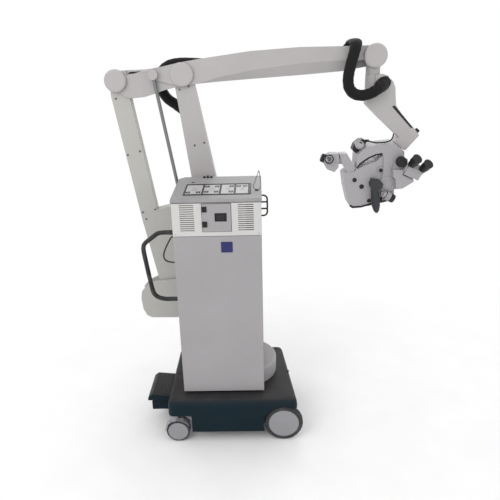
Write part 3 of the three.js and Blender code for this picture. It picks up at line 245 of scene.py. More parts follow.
def casting(name, color):
    """Pitted cast iron with a little rust."""
    s = Shader(name)
    pits = s.noise(160.0, 6, 0.75)
    rust = s.noise(11.0, 7, 0.7)
    tint = s.mix(s.span(rust, 0, 0.35, 0.58, 0.75), color, (0.09, 0.05, 0.03))
    return s.set(tint, s.span(pits, 0.55, 0.8), s.bump(pits, 0.5, 0.0008), Metallic=0.35)


def rubber(name, color, rough=0.75):
    """Dull rubber or foam with dust in patches."""
    s = Shader(name)
    dust = s.noise(24.0, 7, 0.7)
    fine = s.noise(700.0, 3, 0.6)
    tint = s.mix(s.span(dust, 0, 0.28, 0.48, 0.72), color, (0.20, 0.19, 0.18))
    return s.set(tint, s.span(dust, rough - 0.1, rough + 0.12), s.bump(fine, 0.4, 0.0004))


def woven(name, color):
    """Knitted sleeve: two crossed bands of yarn, with folds and a soft sheen."""
    s = Shader(name)
    heights = []
    for turn in (45, -45):
        bands = s.node("ShaderNodeTexWave", wave_type="BANDS", bands_direction="DIAGONAL")
        mapping = s.node("ShaderNodeMapping")
        mapping.inputs["Rotation"].default_value = (0, math.radians(turn), math.radians(turn))
        s.link(s.place, mapping.inputs["Vector"])
        s.link(mapping.outputs["Vector"], bands.inputs["Vector"])
        bands.inputs["Scale"].default_value = 190.0
        bands.inputs["Distortion"].default_value = 0.6
        heights.append(bands.outputs["Fac"])
    both = s.node("ShaderNodeMath", operation="MAXIMUM")
    s.link(heights[0], both.inputs[0])
    s.link(heights[1], both.inputs[1])
    worn = s.noise(30.0, 5, 0.7)
    tint = s.ramp(worn, [(0.35, shade(color, 0.7)), (0.72, shade(color, 1.7))])
    return s.set(tint, s.span(worn, 0.55, 0.8), s.bump(both.outputs[0], 0.6, 0.0008),
                 Sheen_Weight=0.04, Sheen_Roughness=0.5, Specular_IOR_Level=0.25)


def glassy(name, color):
    """A dark coated lens with faint smears."""
    s = Shader(name)
    smear = s.noise(30.0, 4, 0.6)
    return s.set(s.ramp(smear, [(0.4, color), (0.8, shade(color, 1.3))]), s.span(smear, 0.02, 0.10),
                 Coat_Weight=1.0, Coat_Roughness=0.03, Specular_IOR_Level=0.8)


def painted_top_light_plastic(name, color, top_light_color, rough=0.5):
    """Moulded plastic whose upward faces are painted lighter and browner, unevenly in patches: painted
    light falling from above.
    """
    s = Shader(name)
    cloud = s.noise(6.0, 6, 0.65)
    tint = s.ramp(cloud, [(0.30, shade(color, 0.8)), (0.72, shade(color, 1.25))])
    # Painted light: the upward-facing mask below blends the colour towards a lighter brown on top faces.
    geometry = s.node("ShaderNodeNewGeometry")
    split = s.node("ShaderNodeSeparateXYZ")
    s.link(geometry.outputs["Normal"], split.inputs["Vector"])
    facing = s.span(split.outputs["Z"], 0.0, 0.85, 0.15, 0.95)
    patch = s.span(s.noise(14.0, 7, 0.7), 0.55, 1.0, 0.3, 0.7)
    top_light_blend = s.node("ShaderNodeMath", operation="MULTIPLY")
    s.link(facing, top_light_blend.inputs[0])
    s.link(patch, top_light_blend.inputs[1])
    grain = s.noise(620.0, 3, 0.6)
    return s.set(s.mix(top_light_blend.outputs[0], tint, top_light_color),
                 s.span(cloud, rough - 0.06, rough + 0.12, 0.3, 0.7),
                 s.bump(grain, 0.35, 0.0003), Specular_IOR_Level=0.16)


PAINT = enamel("cabinet_enamel", (0.335, 0.322, 0.332), 0.5)
VENT_PAINT = enamel("vent_panel_enamel", (0.57, 0.555, 0.55), 0.45)
LINK_PAINT = enamel("link_enamel", (0.45, 0.445, 0.42), 0.45, 0.12)
ARM_PAINT = enamel("arm_enamel", (0.43, 0.41, 0.412), 0.42, 0.10)
HEAD_PAINT = enamel("head_enamel", (0.37, 0.355, 0.372), 0.40, 0.08, 0.15)
CONSOLE = moulded("console_plastic", (0.30, 0.295, 0.30), 0.48, 0.3)
# The shroud's upward faces carry painted light from above: a lighter brownish colour in patches.
SHROUD = painted_top_light_plastic("shroud_plastic", (0.002, 0.012, 0.019), (0.050, 0.043, 0.042))
FIELD = moulded("key_field_foil", (0.44, 0.43, 0.43), 0.38, 0.15, 1200.0, 0.05)
MUTED = moulded("key_field_print", (0.22, 0.22, 0.225), 0.45, 0.15, 1200.0, 0.08)
FILTER = moulded("filter_mat", (0.30, 0.29, 0.27), 0.85, 0.8, 300.0, 0.25)
PLATE_BLUE = enamel("blank_plate_enamel", (0.012, 0.014, 0.115), 0.30, 0.05, 0.1)
BLACK = moulded("black_plastic", (0.006, 0.006, 0.007), 0.42, 0.25)
GRIP = moulded("grip_plastic", (0.030, 0.031, 0.036), 0.55, 0.6, 700.0, 0.2)
HUB = enamel("hub_plastic", (0.27, 0.27, 0.285), 0.4, 0.18)
TYRE = rubber("tyre_rubber", (0.024, 0.025, 0.028))
FOAM = rubber("handle_foam", (0.011, 0.011, 0.012), 0.62)
STEEL = metal("drawn_steel", (0.55, 0.55, 0.54))
ROD_STEEL = metal("rod_steel", (0.24, 0.25, 0.25), 0.4)
WIRE = metal("dark_wire", (0.16, 0.16, 0.17), 0.42)
IRON = casting("cast_iron", (0.045, 0.047, 0.05))
SLEEVE = woven("hose_sleeve", (0.0035, 0.0035, 0.004))
LEAD = rubber("lead_rubber", (0.012, 0.012, 0.013), 0.5)
LENS = glassy("coated_lens", (0.02, 0.03, 0.045))

SLOT_MATERIAL = {
    "iron": IRON, "shroud": SHROUD, "tyre": TYRE, "fork": HUB, "column_paint": PAINT,
    "console": CONSOLE, "vent": VENT_PAINT, "link_paint": LINK_PAINT, "arm_paint": ARM_PAINT,
    "head_paint": HEAD_PAINT, "steel": STEEL, "black_plastic": BLACK, "grip": GRIP, "foam": FOAM,
    "sleeve": SLEEVE, "lead": LEAD, "housing": HUB,
}
NODE_SLOT = {part["node"]: part["material_slot"] for part in frame["record"]["subparts"]}

# ---------------------------------------------------------------- carried-over CAD nodes

# These keep their own faces. Joining them first would tear the panels around their many holes, and
# the arm where its faces twist.
KEPT_FACES = {"vent_panel", "keypad_frame", "arm_beam"}


def soften(obj, width, segments=3, angle=28):
    """A rounded edge of the given width in millimetres, with smooth shading around it."""
    for polygon in obj.data.polygons:
        polygon.use_smooth = True
    bevel = obj.modifiers.new("bevel", "BEVEL")
    bevel.width = width * MM
    bevel.segments = segments
    bevel.limit_method = "ANGLE"
    bevel.angle_limit = math.radians(angle)
    bevel.miter_outer = "MITER_ARC"
    normals = obj.modifiers.new("normals", "WEIGHTED_NORMAL")
    normals.keep_sharp = True
    return obj


def finish_node(name, width):
    """Rounds a CAD node's edges with modifiers and gives it its material."""
    obj = nodes[name]
    if not obj.material_slots:
        obj.data.materials.append(None)
    for material_slot in obj.material_slots:
        material_slot.link = "OBJECT"
        material_slot.material = OWN_PAINT.get(name) or SLOT_MATERIAL[NODE_SLOT[name]]
    weld = obj.modifiers.new("weld", "WELD")
    weld.merge_threshold = 1e-5
    if name not in KEPT_FACES:
        flat = obj.modifiers.new("flat", "DECIMATE")
        flat.decimate_type = "DISSOLVE"
        flat.angle_limit = math.radians(1.0)
    return soften(obj, width)


# Pieces whose paint differs a little from the rest of their slot.
OWN_PAINT = {
    "elbow_lever": ARM_PAINT, "right_link": ARM_PAINT, "tail_pivot": ARM_PAINT, "end_bracket": ARM_PAINT,
    "guide_rod": ROD_STEEL, "head_yoke": HEAD_PAINT,
}
WIDE_EDGES = {
    "arm_beam": 3, "left_link": 5, "right_link": 5, "lower_bar": 5, "microscope_body": 8,
    "head_yoke": 2.5, "shoulder_arm": 5, "base_shroud": 3, "console_top": 4, "vent_panel": 0.6,
    "keypad_frame": 0.8, "camera": 6, "observer_tube": 5, "binocular_base": 4, "binocular_head": 4,
    "hand_grip_front": 3, "hand_grip_rear": 3, "brake_pedal": 3, "lamp_door": 1, "door_latch": 1,
}
for node_name in nodes:
    finish_node(node_name, WIDE_EDGES.get(node_name, 1.5))

# ---------------------------------------------------------------- mesh helpers


def make_object(name, mesh, material, body):
    """An object whose mesh is already in frame metres, riding on a CAD body."""
    mesh.materials.append(material)
    obj = bpy.data.objects.new(name, mesh)
    bpy.context.scene.collection.objects.link(obj)
    if body is not None:
        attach(obj, body)
    return obj


def from_rings(name, rings):
    """A closed mesh skinned over rings of points, in model millimetres."""
    verts = [at(*p) for ring in rings for p in ring]
    sides = len(rings[0])
    faces = []
    for row in range(len(rings) - 1):
        for k in range(sides):
            a = row * sides + k
            b = row * sides + (k + 1) % sides
            faces.append((a, b, b + sides, a + sides))
    faces.append(tuple(reversed(range(sides))))
    faces.append(tuple(range((len(rings) - 1) * sides, len(rings) * sides)))
    mesh = bpy.data.meshes.new(name)
    mesh.from_pydata([tuple(v) for v in verts], [], faces)
    bm = bmesh.new()
    bm.from_mesh(mesh)
    bmesh.ops.recalc_face_normals(bm, faces=bm.faces)
    bm.to_mesh(mesh)
    bm.free()
    return mesh


def square_to(axis):
    """Two unit directions square to an axis and to each other."""
    axis = Vector(axis).normalized()
    helper = Vector((0, 0, 1)) if abs(axis.z) < 0.9 else Vector((1, 0, 0))
    first = axis.cross(helper).normalized()
    return first, axis.cross(first)


def turned(name, place, axis, profile, material, body, sides=48, edge=0.6):
    """A piece turned about an axis: profile holds (radius, distance along the axis) pairs."""
    place, axis = Vector(place), Vector(axis).normalized()
    first, second = square_to(axis)
    rings = []
    for radius, along in profile:
        ring = []
        for k in range(sides):
            a = 2 * math.pi * k / sides
            outward = first * math.cos(a) + second * math.sin(a)
            ring.append(place + axis * along + outward * max(radius, 0.02))
        rings.append(ring)
    obj = make_object(name, from_rings(name, rings), material, body)
    return soften(obj, edge, 2, 40) if edge else smooth(obj)


def smooth(obj):
    """Smooth shading on every face."""
    for polygon in obj.data.polygons:
        polygon.use_smooth = True
    return obj


def slab(name, outline, y, material, body, edge=0.8):
    """A side-view outline of (x, z) points between two Y planes."""
    rings = [[(px, depth, pz) for px, pz in outline] for depth in y]
    obj = make_object(name, from_rings(name, rings), material, body)
    return soften(obj, edge, 2, 25)


CORNER_STEPS = 4


def oblong(x, z, corner=3.0):
    """A rounded rectangle in the side view, as (x, z) points."""
    points = []
    for cx, cz, start in ((x[1], z[1], 0), (x[0], z[1], 90), (x[0], z[0], 180), (x[1], z[0], 270)):
        sx = -1 if cx == x[1] else 1
        sz = -1 if cz == z[1] else 1
        for i in range(CORNER_STEPS + 1):
            a = math.radians(start + 90 * i / CORNER_STEPS)
            points.append((cx + sx * corner + corner * math.cos(a),
                           cz + sz * corner + corner * math.sin(a)))
    return points


def curve_points(route, count):
    """Evenly spaced points on a smooth curve through the route, in model millimetres."""
    knots = [Vector(p) for p in route]
    knots = [knots[0] * 2 - knots[1], *knots, knots[-1] * 2 - knots[-2]]
    fine = []
    for i in range(1, len(knots) - 2):
        p0, p1, p2, p3 = knots[i - 1:i + 3]
        for s in range(24):
            t = s / 24
            square = (2 * p0 - 5 * p1 + 4 * p2 - p3) * t * t
            cube = (3 * p1 - p0 - 3 * p2 + p3) * t ** 3
            fine.append(0.5 * (2 * p1 + (p2 - p0) * t + square + cube))
    fine.append(knots[-2])
    lengths = [0.0]
    for a, b in zip(fine, fine[1:]):
        lengths.append(lengths[-1] + (b - a).length)
    points = []
    j = 0
    for i in range(count + 1):
        want = lengths[-1] * i / count
        while j < len(fine) - 2 and lengths[j + 1] < want:
            j += 1
        share = (want - lengths[j]) / max(lengths[j + 1] - lengths[j], 1e-9)
        points.append(fine[j].lerp(fine[j + 1], min(max(share, 0), 1)))
    return points, lengths[-1]


def tube_rings(points, radius, sides):
    """Rings around a line of points without twist; radius is a function of point and angle index."""
    rings = []
    first = None
    for i, point in enumerate(points):
        ahead = points[min(i + 1, len(points) - 1)] - points[max(i - 1, 0)]
        ahead.normalize()
        if first is None:
            first = square_to(ahead)[0]
        first = (first - ahead * first.dot(ahead)).normalized()
        second = ahead.cross(first)
        ring = []
        for k in range(sides):
            a = 2 * math.pi * k / sides
            r = radius(i, k)
            ring.append(point + (first * math.cos(a) + second * math.sin(a)) * r)
        rings.append(ring)
    return rings


def screw(name, x, y, z, r, body, material=STEEL, depth=2.5):
    """A cap screw whose axis is along Y and whose head looks towards -Y, with its round socket."""
    inner = r * 0.5
    profile = [(r, 0), (r, -depth + 0.5), (r - 0.6, -depth), (inner, -depth),
               (inner * 0.9, -depth + 1.4), (0, -depth + 1.4)]
    return turned(name, (x, y, z), (0, 1, 0), profile, material, body, 18, 0.15)


# ---------------------------------------------------------------- base details

WHEELS = [("wheel_front", "front_wheel", 114, -46), ("wheel_rear", "rear_wheel", 18, 440)]
WHEEL_R = 100
HUB_R = 79
TYRE_HALF = 18


def wheel_profile(radius, rim, half):
    """Rim to tread to rim, with two rain grooves in the tread."""
    tread = []
    for groove in (-half * 0.35, half * 0.35):
        tread += [(radius, groove - 1.6), (radius - 2.2, groove - 0.8), (radius - 2.2, groove + 0.8),
                  (radius, groove + 1.6)]
    return [(rim, -half + 3), (rim + 3, -half), (radius - 6, -half + 1), (radius - 1.5, -half + 5),
            (radius, -half + 8), *tread, (radius, half - 8), (radius - 1.5, half - 5),
            (radius - 6, half - 1), (rim + 3, half), (rim, half - 3)]


def hub_profile(rim, half, side):
    """A domed hub cap with a stepped lip and a small centre dimple."""
    levels = [(rim, -3.5), (rim - 0.8, -0.8), (rim - 3, 0.4), (rim - 8, 0.8), (rim * 0.5, 1.6), (8, 1.9),
              (7, 1.2), (0, 1.1)]
    return [(r, side * (half + lift)) for r, lift in levels]


for node, body, wheel_x, wheel_y in WHEELS:
    centre = (wheel_x, wheel_y, WHEEL_R)
    tyre_profile = wheel_profile(WHEEL_R, HUB_R, TYRE_HALF)
    tyre = turned(node + "_tyre", centre, (0, 1, 0), tyre_profile, TYRE, body, 96, 0)
    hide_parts(node)
    for side in (-1, 1):
        turned(f"{node}_hub_{'outer' if side < 0 else 'inner'}", centre, (0, 1, 0),
               hub_profile(HUB_R, TYRE_HALF, side), HUB, body, 96, 0.4)

CASTOR_X = -442
CASTOR_R = 62
CASTOR_HALF = 22.6
HOOD_R = 68
HOOD_WALL = 2.6
HOOD_HALF = 24
HOOD_START = 28               # degrees above the axle's level on the wheel's right
HOOD_SWEEP = 150
HOOD_STEPS = 18
CASTOR_CAP = ((52, -0.5), (52, 0.9), (50, 1.7), (26, 2.3), (6, 2.4), (5, 1.9), (0, 1.9))
for end, wheel_y in (("front", -44), ("rear", 424)):
    centre = (CASTOR_X, wheel_y, CASTOR_R)
    for side in (-1, 1):
        cap_profile = [(r, side * (CASTOR_HALF + d)) for r, d in CASTOR_CAP]
        turned(f"castor_cap_{end}_{'a' if side < 0 else 'b'}", centre, (0, 1, 0), cap_profile, HUB,
               end + "_castor", 64, 0.3)
    hood_outer = []
    hood_inner = []
    for step in range(HOOD_STEPS + 1):
        angle = math.radians(HOOD_START + HOOD_SWEEP * step / HOOD_STEPS)
        for points, radius in ((hood_outer, HOOD_R), (hood_inner, HOOD_R - HOOD_WALL)):
            points.append((CASTOR_X + radius * math.cos(angle), CASTOR_R + radius * math.sin(angle)))
    hood_y = (wheel_y - HOOD_HALF, wheel_y + HOOD_HALF)
    slab(f"castor_hood_{end}", hood_outer + hood_inner[::-1], hood_y, HUB, end + "_fork", 0.8)

# Bolt heads along the deck's edges, and ribs across the pedal.
DECK_TOP = 250
DECK_BOLTS = ((-455, -38), (150, -38), (-455, 455), (95, 455), (150, 200), (-455, 200))
for bolt, (bolt_x, bolt_y) in enumerate(DECK_BOLTS):
    turned(f"deck_bolt_{bolt}", (bolt_x, bolt_y, DECK_TOP), (0, 0, 1),
           [(7, -0.5), (7, 2.2), (6, 3.0), (3.4, 3.0), (3.2, 1.6), (0, 1.6)], IRON, "base",
           24, 0.2)
RIB_START_X = -590
RIB_STEP = 13
PEDAL_TOP = 206.2
PEDAL_SLOPE = 0.104
PEDAL_Y = (72, 268)
for rib in range(7):
    rib_x = RIB_START_X + RIB_STEP * rib
    rib_z = PEDAL_TOP - (rib_x - RIB_START_X) * PEDAL_SLOPE
    slab(f"pedal_rib_{rib}", oblong((rib_x, rib_x + 6), (rib_z - 1.5, rib_z + 1.6), 1.2), PEDAL_Y,
         BLACK, "pedal", 0.4)

# ---------------------------------------------------------------- cabinet details

FRONT = -2.0                  # face of the front panels
DOOR_FRONT = -5.0
BACK = 366                    # face of the back panel
CONSOLE_FRONT_Z = 1296
CONSOLE_RISE = 29


def console_height(y):
    """The console's surface rises evenly from front to back."""
    return CONSOLE_FRONT_Z + CONSOLE_RISE * y / BACK


def on_console(points, lift):
    """Points (x, y) on the sloping console, lifted off its surface."""
    return [(px, py, console_height(py) + lift) for px, py in points]


def console_slab(name, x, y, lift, material, body="column", slot=None, corner=2.0, edge=0.4):
    """A rounded plate on the console between two lifts off its surface."""
    outline = oblong(x, y, corner)
    mesh = from_rings(name, [on_console(outline, height) for height in lift])
    return soften(make_object(name, mesh, material, body), edge, 2, 25)


def around(middle, half):
    """The two spans of a rectangle around its middle."""
    return [(centre - reach, centre + reach) for centre, reach in zip(middle, half)]


# Four light key fields inside the black frame, each with its own dark membrane keys.
FIELD_WIDTHS = (87, 84, 71, 68)
FIELD_KEYS = (
    ((0.16, 0.18), (0.80, 0.18)),
    ((0.18, 0.22), (0.18, 0.80), (0.82, 0.22), (0.82, 0.80)),
    ((0.78, 0.20), (0.78, 0.80)),
    ((0.22, 0.80), (0.74, 0.80)),
)
FIELD_Y = (77.0, 219.0)
KEY_HALF = (11, 12)
MARK_HALF = (3, 4)
field_left = -349
for field, (field_width, keys) in enumerate(zip(FIELD_WIDTHS, FIELD_KEYS)):
    field_x = (field_left + 1.6, field_left + field_width - 8.0)
    console_slab(f"key_field_{field}", field_x, FIELD_Y, (-0.7, 0.9), FIELD, slot="console", corner=3)
    for key, (u, v) in enumerate(keys):
        middle = (field_x[0] + u * (field_x[1] - field_x[0]),
                  FIELD_Y[0] + v * (FIELD_Y[1] - FIELD_Y[0]))
        console_slab(f"key_{field}_{key}", *around(middle, KEY_HALF), (0.7, 1.8), BLACK,
                     slot="black_plastic", corner=4)
        console_slab(f"key_mark_{field}_{key}", *around(middle, MARK_HALF), (1.6, 2.1), FIELD,
                     slot="console", corner=2.5, edge=0.2)
    for bar in range(3):
        bar_x = (field_x[0] + 0.32 * field_width, field_x[0] + 0.62 * field_width)
        bar_y = FIELD_Y[0] + (0.40 + 0.12 * bar) * (FIELD_Y[1] - FIELD_Y[0])
        console_slab(f"field_line_{field}_{bar}", bar_x, (bar_y - 1.5, bar_y + 1.5), (0.7, 1.3), MUTED,
                     slot="console", corner=1.2, edge=0.2)
    field_left += field_width

# Hinge blocks, latch bezel and the blank plate.
HINGE_X = (-262, -239)
HINGE_FRONT = DOOR_FRONT - 4.5
for hinge, hinge_z in enumerate(((1163, 1190), (1236, 1262))):
    slab(f"door_hinge_{hinge}", oblong(HINGE_X, hinge_z, 2), (HINGE_FRONT, DOOR_FRONT), BLACK, "door")
    for row in (0.28, 0.72):
        screw(f"hinge_screw_{hinge}_{int(row * 100)}", -250, HINGE_FRONT,
              hinge_z[0] + row * (hinge_z[1] - hinge_z[0]), 3, "door", BLACK, 0.9)
BEZEL_BARS = (
    ((-203, -147), (1226.4, 1230)), ((-203, -147), (1190, 1193.6)),
    ((-203, -199.6), (1193.6, 1226.4)), ((-150.4, -147), (1193.6, 1226.4)),
)
for bar, bezel in enumerate(BEZEL_BARS):
    slab(f"latch_bezel_{bar}", oblong(*bezel, 1), (DOOR_FRONT - 1.6, DOOR_FRONT), BLACK, "door",
         0.4)
for ridge in range(4):
    slab(f"latch_ridge_{ridge}", oblong((-190, -160), (1200 + 6 * ridge, 1202.4 + 6 * ridge), 0.8),
         (-7.0, -5.9), GRIP, "latch", 0.3)
slab("blank_plate", oblong((-179, -124), (1035, 1088), 2.5), (FRONT - 1.8, FRONT), PLATE_BLUE, "column",
     0.5)

# Pale filter mats behind the left vents and behind part of the right ones.
VENT_Z = (1138, 1276)
for side, filter_x in (("left", (-372, -295)), ("right", (-96, -58))):
    slab(f"filter_{side}", oblong(filter_x, VENT_Z, 2), (5, 8), FILTER, "column")

# Panel screws and the seam strip between the console and the vented panel.
PANEL_SCREWS = [(screw_x, screw_z) for screw_z in (1128, 290, 700) for screw_x in (-392, 2)]
for corner, (screw_x, screw_z) in enumerate(PANEL_SCREWS):
    screw(f"panel_screw_{corner}", screw_x, FRONT, screw_z, 3.2, "column", STEEL, 1.0)
slab("console_seam", oblong((-404, 14), (1274.6, 1278), 1), (-1.4, 0.5), BLACK, "column",
     0.2)

# Back of the cabinet: a plate around the mains inlet, and vent slots beside it.
slab("service_plate", oblong((-108, -37), (792, 844), 4), (BACK + 0.2, BACK + 1.4), STEEL, "column",
     0.3)
for slot_row in range(9):
    slot_z = 700 + 14 * slot_row
    slab(f"back_slot_{slot_row}", oblong((-340, -150), (slot_z, slot_z + 5), 2.2),
         (BACK - 0.4, BACK + 0.9), BLACK, "column", 0.2)

# Wire loop that stands on the console beside the keys.
LOOP_Y = 120
LOOP = [
    (-6, 1306), (-18, 1316), (-20, 1330), (-13, 1349), (-4, 1372), (3, 1392), (6, 1401), (9, 1391),
    (12, 1370), (15, 1344), (15, 1326), (8, 1312), (-3, 1306),
]
LOOP_WIRE_R = 1.7
loop_points = curve_points([(x, LOOP_Y, z) for x, z in LOOP], 72)[0]
loop_mesh = from_rings("console_wire_loop", tube_rings(loop_points, lambda i, k: LOOP_WIRE_R, 10))
smooth(make_object("console_wire_loop", loop_mesh, WIRE, "column"))
turned("loop_foot", (-5, LOOP_Y, console_height(LOOP_Y) - 0.5), (0, 0, 1),
       [(9, 0), (9, 3), (7, 5), (3, 6), (0, 6)], BLACK, "column", 28)

# Small black clips along the console's rear edge, and a catch beside the keys.
CLIP_Y = (340, 356)
for clip, clip_x in enumerate((-276, -258, -240)):
    clip_lift = (-0.4, 7 + 3 * (clip % 2))
    console_slab(f"console_clip_{clip}", (clip_x - 6, clip_x + 6), CLIP_Y, clip_lift, BLACK,
                 slot="black_plastic", corner=3, edge=0.8)
console_slab("console_catch", (-334, -318), (262, 272), (-0.3, 1.4), BLACK, slot="black_plastic",
             corner=4)

# ---------------------------------------------------------------- push handle

HANDLE_Y = 150
HANDLE_R = 11.6
HANDLE_ENDS = (1092, 728)
SIDE_X = -405                 # face of the cabinet's left side
HANDLE = [
    (-405.5, 1092), (-440, 1092), (-478, 1092), (-506, 1087), (-540, 1063), (-570, 1040),
    (-582, 1020), (-583, 990), (-576, 930), (-566, 850), (-556, 785), (-548, 758), (-526, 738),
    (-495, 729), (-450, 728), (-405.5, 728),
]
handle_points = curve_points([(x, HANDLE_Y, z) for x, z in HANDLE], 330)[0]


def handle_radius(i, k):
    """Foam with fine turned grooves and slow uneven swelling."""
    groove = 0.55 if i % 5 in (0, 1) else 0.0
    swell = 0.35 * math.sin(i * 0.11) + 0.25 * math.sin(i * 0.047 + 1.3)
    return HANDLE_R - groove + 0.6 * swell


handle_mesh = from_rings("handle_foam", tube_rings(handle_points, handle_radius, 28))
handle = smooth(make_object("handle_foam", handle_mesh, FOAM, "column"))
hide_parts("push_handle")
HANDLE_FLANGE = [(22, 0.2), (22, 3), (20, 4.5), (14, 5.5), (13, 9), (12.4, 9.4)]
for flange, flange_z in enumerate(HANDLE_ENDS):
    turned(f"handle_flange_{flange}", (SIDE_X, HANDLE_Y, flange_z), (-1, 0, 0), HANDLE_FLANGE, BLACK,
           "column", 40)

# ---------------------------------------------------------------- hose in four runs

HOSE_R = 28
HOSE_BEHIND_Y = 548           # behind the right link and the arm
HOSE_BEHIND = [
    (-272.2, 1203), (-287, 1300), (-303, 1400), (-320, 1500), (-340, 1575), (-375, 1635), (-425, 1678),
    (-470, 1712), (-497, 1758), (-503, 1806), (-488, 1849), (-450, 1877), (-400, 1887), (-330, 1886),
    (-240, 1880), (-100, 1880), (60, 1888), (200, 1894), (310, 1896),
]
HOSE_OVER = [
    (385, 550, 1900), (432, 551, 1910), (466, 551, 1930), (486, 545, 1955), (494, 524, 1969),
    (497, 496, 1970), (496, 466, 1970), (494, 434, 1969), (491, 402, 1963), (487, 382, 1942),
    (479, 378, 1908), (468, 379, 1866), (459, 380, 1822), (457, 381, 1786), (465, 382, 1751),
    (490, 383, 1725), (526, 381, 1716), (562, 380, 1722), (594, 384, 1736), (622, 400, 1752),
    (642, 428, 1768), (656, 448, 1779),
]
HOSE_ROUTE = [(x, HOSE_BEHIND_Y, z) for x, z in HOSE_BEHIND] + HOSE_OVER
HOSE_STEPS = 64
STEP_RINGS = 10
HOSE_FINE = STEP_RINGS * HOSE_STEPS
HOSE_SIDES = 36
hose_points = curve_points(HOSE_ROUTE, HOSE_FINE)[0]
SLEEVE_INSET = 0.9
RIPPLE_TURN = 0.785           # angle of the ripple from one ring to the next
FOLD_SEED = 7
FOLD_COUNT = HOSE_FINE // 4 + 2
fold_source = random.Random(FOLD_SEED)
FOLDS = [(fold_source.uniform(0, 6.28), fold_source.uniform(0.4, 1.0)) for _ in range(FOLD_COUNT)]


def bend_at(i):
    """How sharply the hose turns at a point: 0 where it is straight."""
    a = hose_points[min(i + 6, HOSE_FINE)] - hose_points[i]
    b = hose_points[i] - hose_points[max(i - 6, 0)]
    if a.length < 1e-6 or b.length < 1e-6:
        return 0.0
    return min(a.normalized().angle(b.normalized()) / 0.5, 1.0)


def hose_radius(i, k):
    """A soft sleeve over the hose: creases across it that deepen where it bends."""
    angle = 2 * math.pi * k / HOSE_SIDES
    crease, strength = FOLDS[i // 4]
    following = FOLDS[i // 4 + 1]
    share = (i % 4) / 4
    depth = strength * (1 - share) + following[1] * share
    ripple = math.sin(i * RIPPLE_TURN) * (0.35 + 0.75 * bend_at(i)) * depth
    wander = 0.55 * math.sin(angle * 2 + crease) * depth
    return HOSE_R - SLEEVE_INSET + ripple + 0.5 * wander


PRESS_FROM_Z = 1925
PRESS_OVER = 37
PRESS_WIDER = 0.14
PRESS_LOWER = 0.43


def pressed_flat(ring):
    """Where the hose lies across the arm's top its sleeve is pressed flat."""
    middle = sum(ring, Vector()) / len(ring)
    share = min(max((middle.z - PRESS_FROM_Z) / PRESS_OVER, 0.0), 1.0)
    press = share * share * (3 - 2 * share)
    wide, low = 1 + PRESS_WIDER * press, 1 - PRESS_LOWER * press
    return [Vector((middle.x + (p.x - middle.x) * wide, p.y, middle.z + (p.z - middle.z) * low))
            for p in ring]


def first_step(test, start=0):
    """First step of the hose, from a given one on, whose point satisfies a test."""
    step = start
    while not test(hose_points[step * STEP_RINGS]):
        step += 1
    return step


# The hose is cut at the elbow's height, before it turns over the arm, and below the arm's top.
ELBOW_Z = 1800
CROSSING_X = 320
OVER_ARM_X = 480
BELOW_TOP_Z = 1885
climb = first_step(lambda p: p.z > ELBOW_Z)
reach = first_step(lambda p: p.x > CROSSING_X)
drop = first_step(lambda p: p.z < BELOW_TOP_Z, first_step(lambda p: p.x > OVER_ARM_X))
HOSE_BREAKS = (0, climb * STEP_RINGS, reach * STEP_RINGS, drop * STEP_RINGS, HOSE_FINE)
HOSE_RUNS = [
    ("hose_sleeve_lower", "hose_lower", "link", "lever",
     (-340, HOSE_BEHIND_Y, 1575), (-503, HOSE_BEHIND_Y, 1806)),
    ("hose_sleeve_upper", "hose_upper", "lever", "arm",
     (-488, HOSE_BEHIND_Y, 1849), (-240, HOSE_BEHIND_Y, 1880)),
    ("hose_sleeve_front", "hose_front", "arm", "bracket", (492, 420, 1965), (479, 378, 1908)),
    ("hose_sleeve_shoulder", "hose_shoulder", "bracket", "shoulder", (456, 384, 1800), (600, 386, 1740)),
]
for run, (name, node, body_a, body_b, blend_start, blend_end) in enumerate(HOSE_RUNS):
    low, high = HOSE_BREAKS[run], HOSE_BREAKS[run + 1]
    run_points = hose_points[low:high + 1]
    round_rings = tube_rings(run_points, lambda i, k, low=low: hose_radius(i + low, k), HOSE_SIDES)
    rings = [pressed_flat(ring) for ring in round_rings]
    sleeve = smooth(make_object(name, from_rings(name, rings), SLEEVE, None))
    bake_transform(sleeve)
    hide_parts(node)

# ---------------------------------------------------------------- leads

LEAD_R = 4
LEAD_STEPS = 72
SIDE_LEAD_Y = 92
SIDE_LEAD = [
    (-408, 1094), (-416, 1092), (-430, 1082), (-444, 1060), (-458, 1034), (-469, 1008), (-473, 988),
    (-468, 970), (-456, 960), (-438, 955), (-420, 953), (-408, 953),
]
HEAD_LEAD = [
    (715, 448, 1514), (709, 436, 1499), (697, 423, 1486), (676, 413, 1479), (648, 410, 1476),
    (622, 414, 1475), (600, 428, 1477), (586, 444, 1480), (576, 456, 1480),
]


def lead(name, node, route, body, blend=None):
    """A thin cord along a route, in place of its CAD node."""
    points, length = curve_points(route, LEAD_STEPS)
    mesh = from_rings(name, tube_rings(points, lambda i, k: LEAD_R - 0.1, 14))
    obj = smooth(make_object(name, mesh, LEAD, body))
    if blend:
        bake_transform(obj)
    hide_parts(node)


lead("side_lead_sleeve", "side_lead", [(x, SIDE_LEAD_Y, z) for x, z in SIDE_LEAD], "column")
lead("head_lead_sleeve", "head_lead", HEAD_LEAD, None,
     ("shoulder", "yoke", at(712, 444, 1508), at(650, 411, 1476)))
for gland, gland_z in enumerate((1094, 953)):
    turned(f"lead_gland_{gland}", (SIDE_X, SIDE_LEAD_Y, gland_z), (-1, 0, 0),
           [(9, 0.2), (9, 3), (7, 4), (6, 10), (4.6, 12), (4.2, 12.2)], BLACK, "column",
           24)

# ---------------------------------------------------------------- linkage details

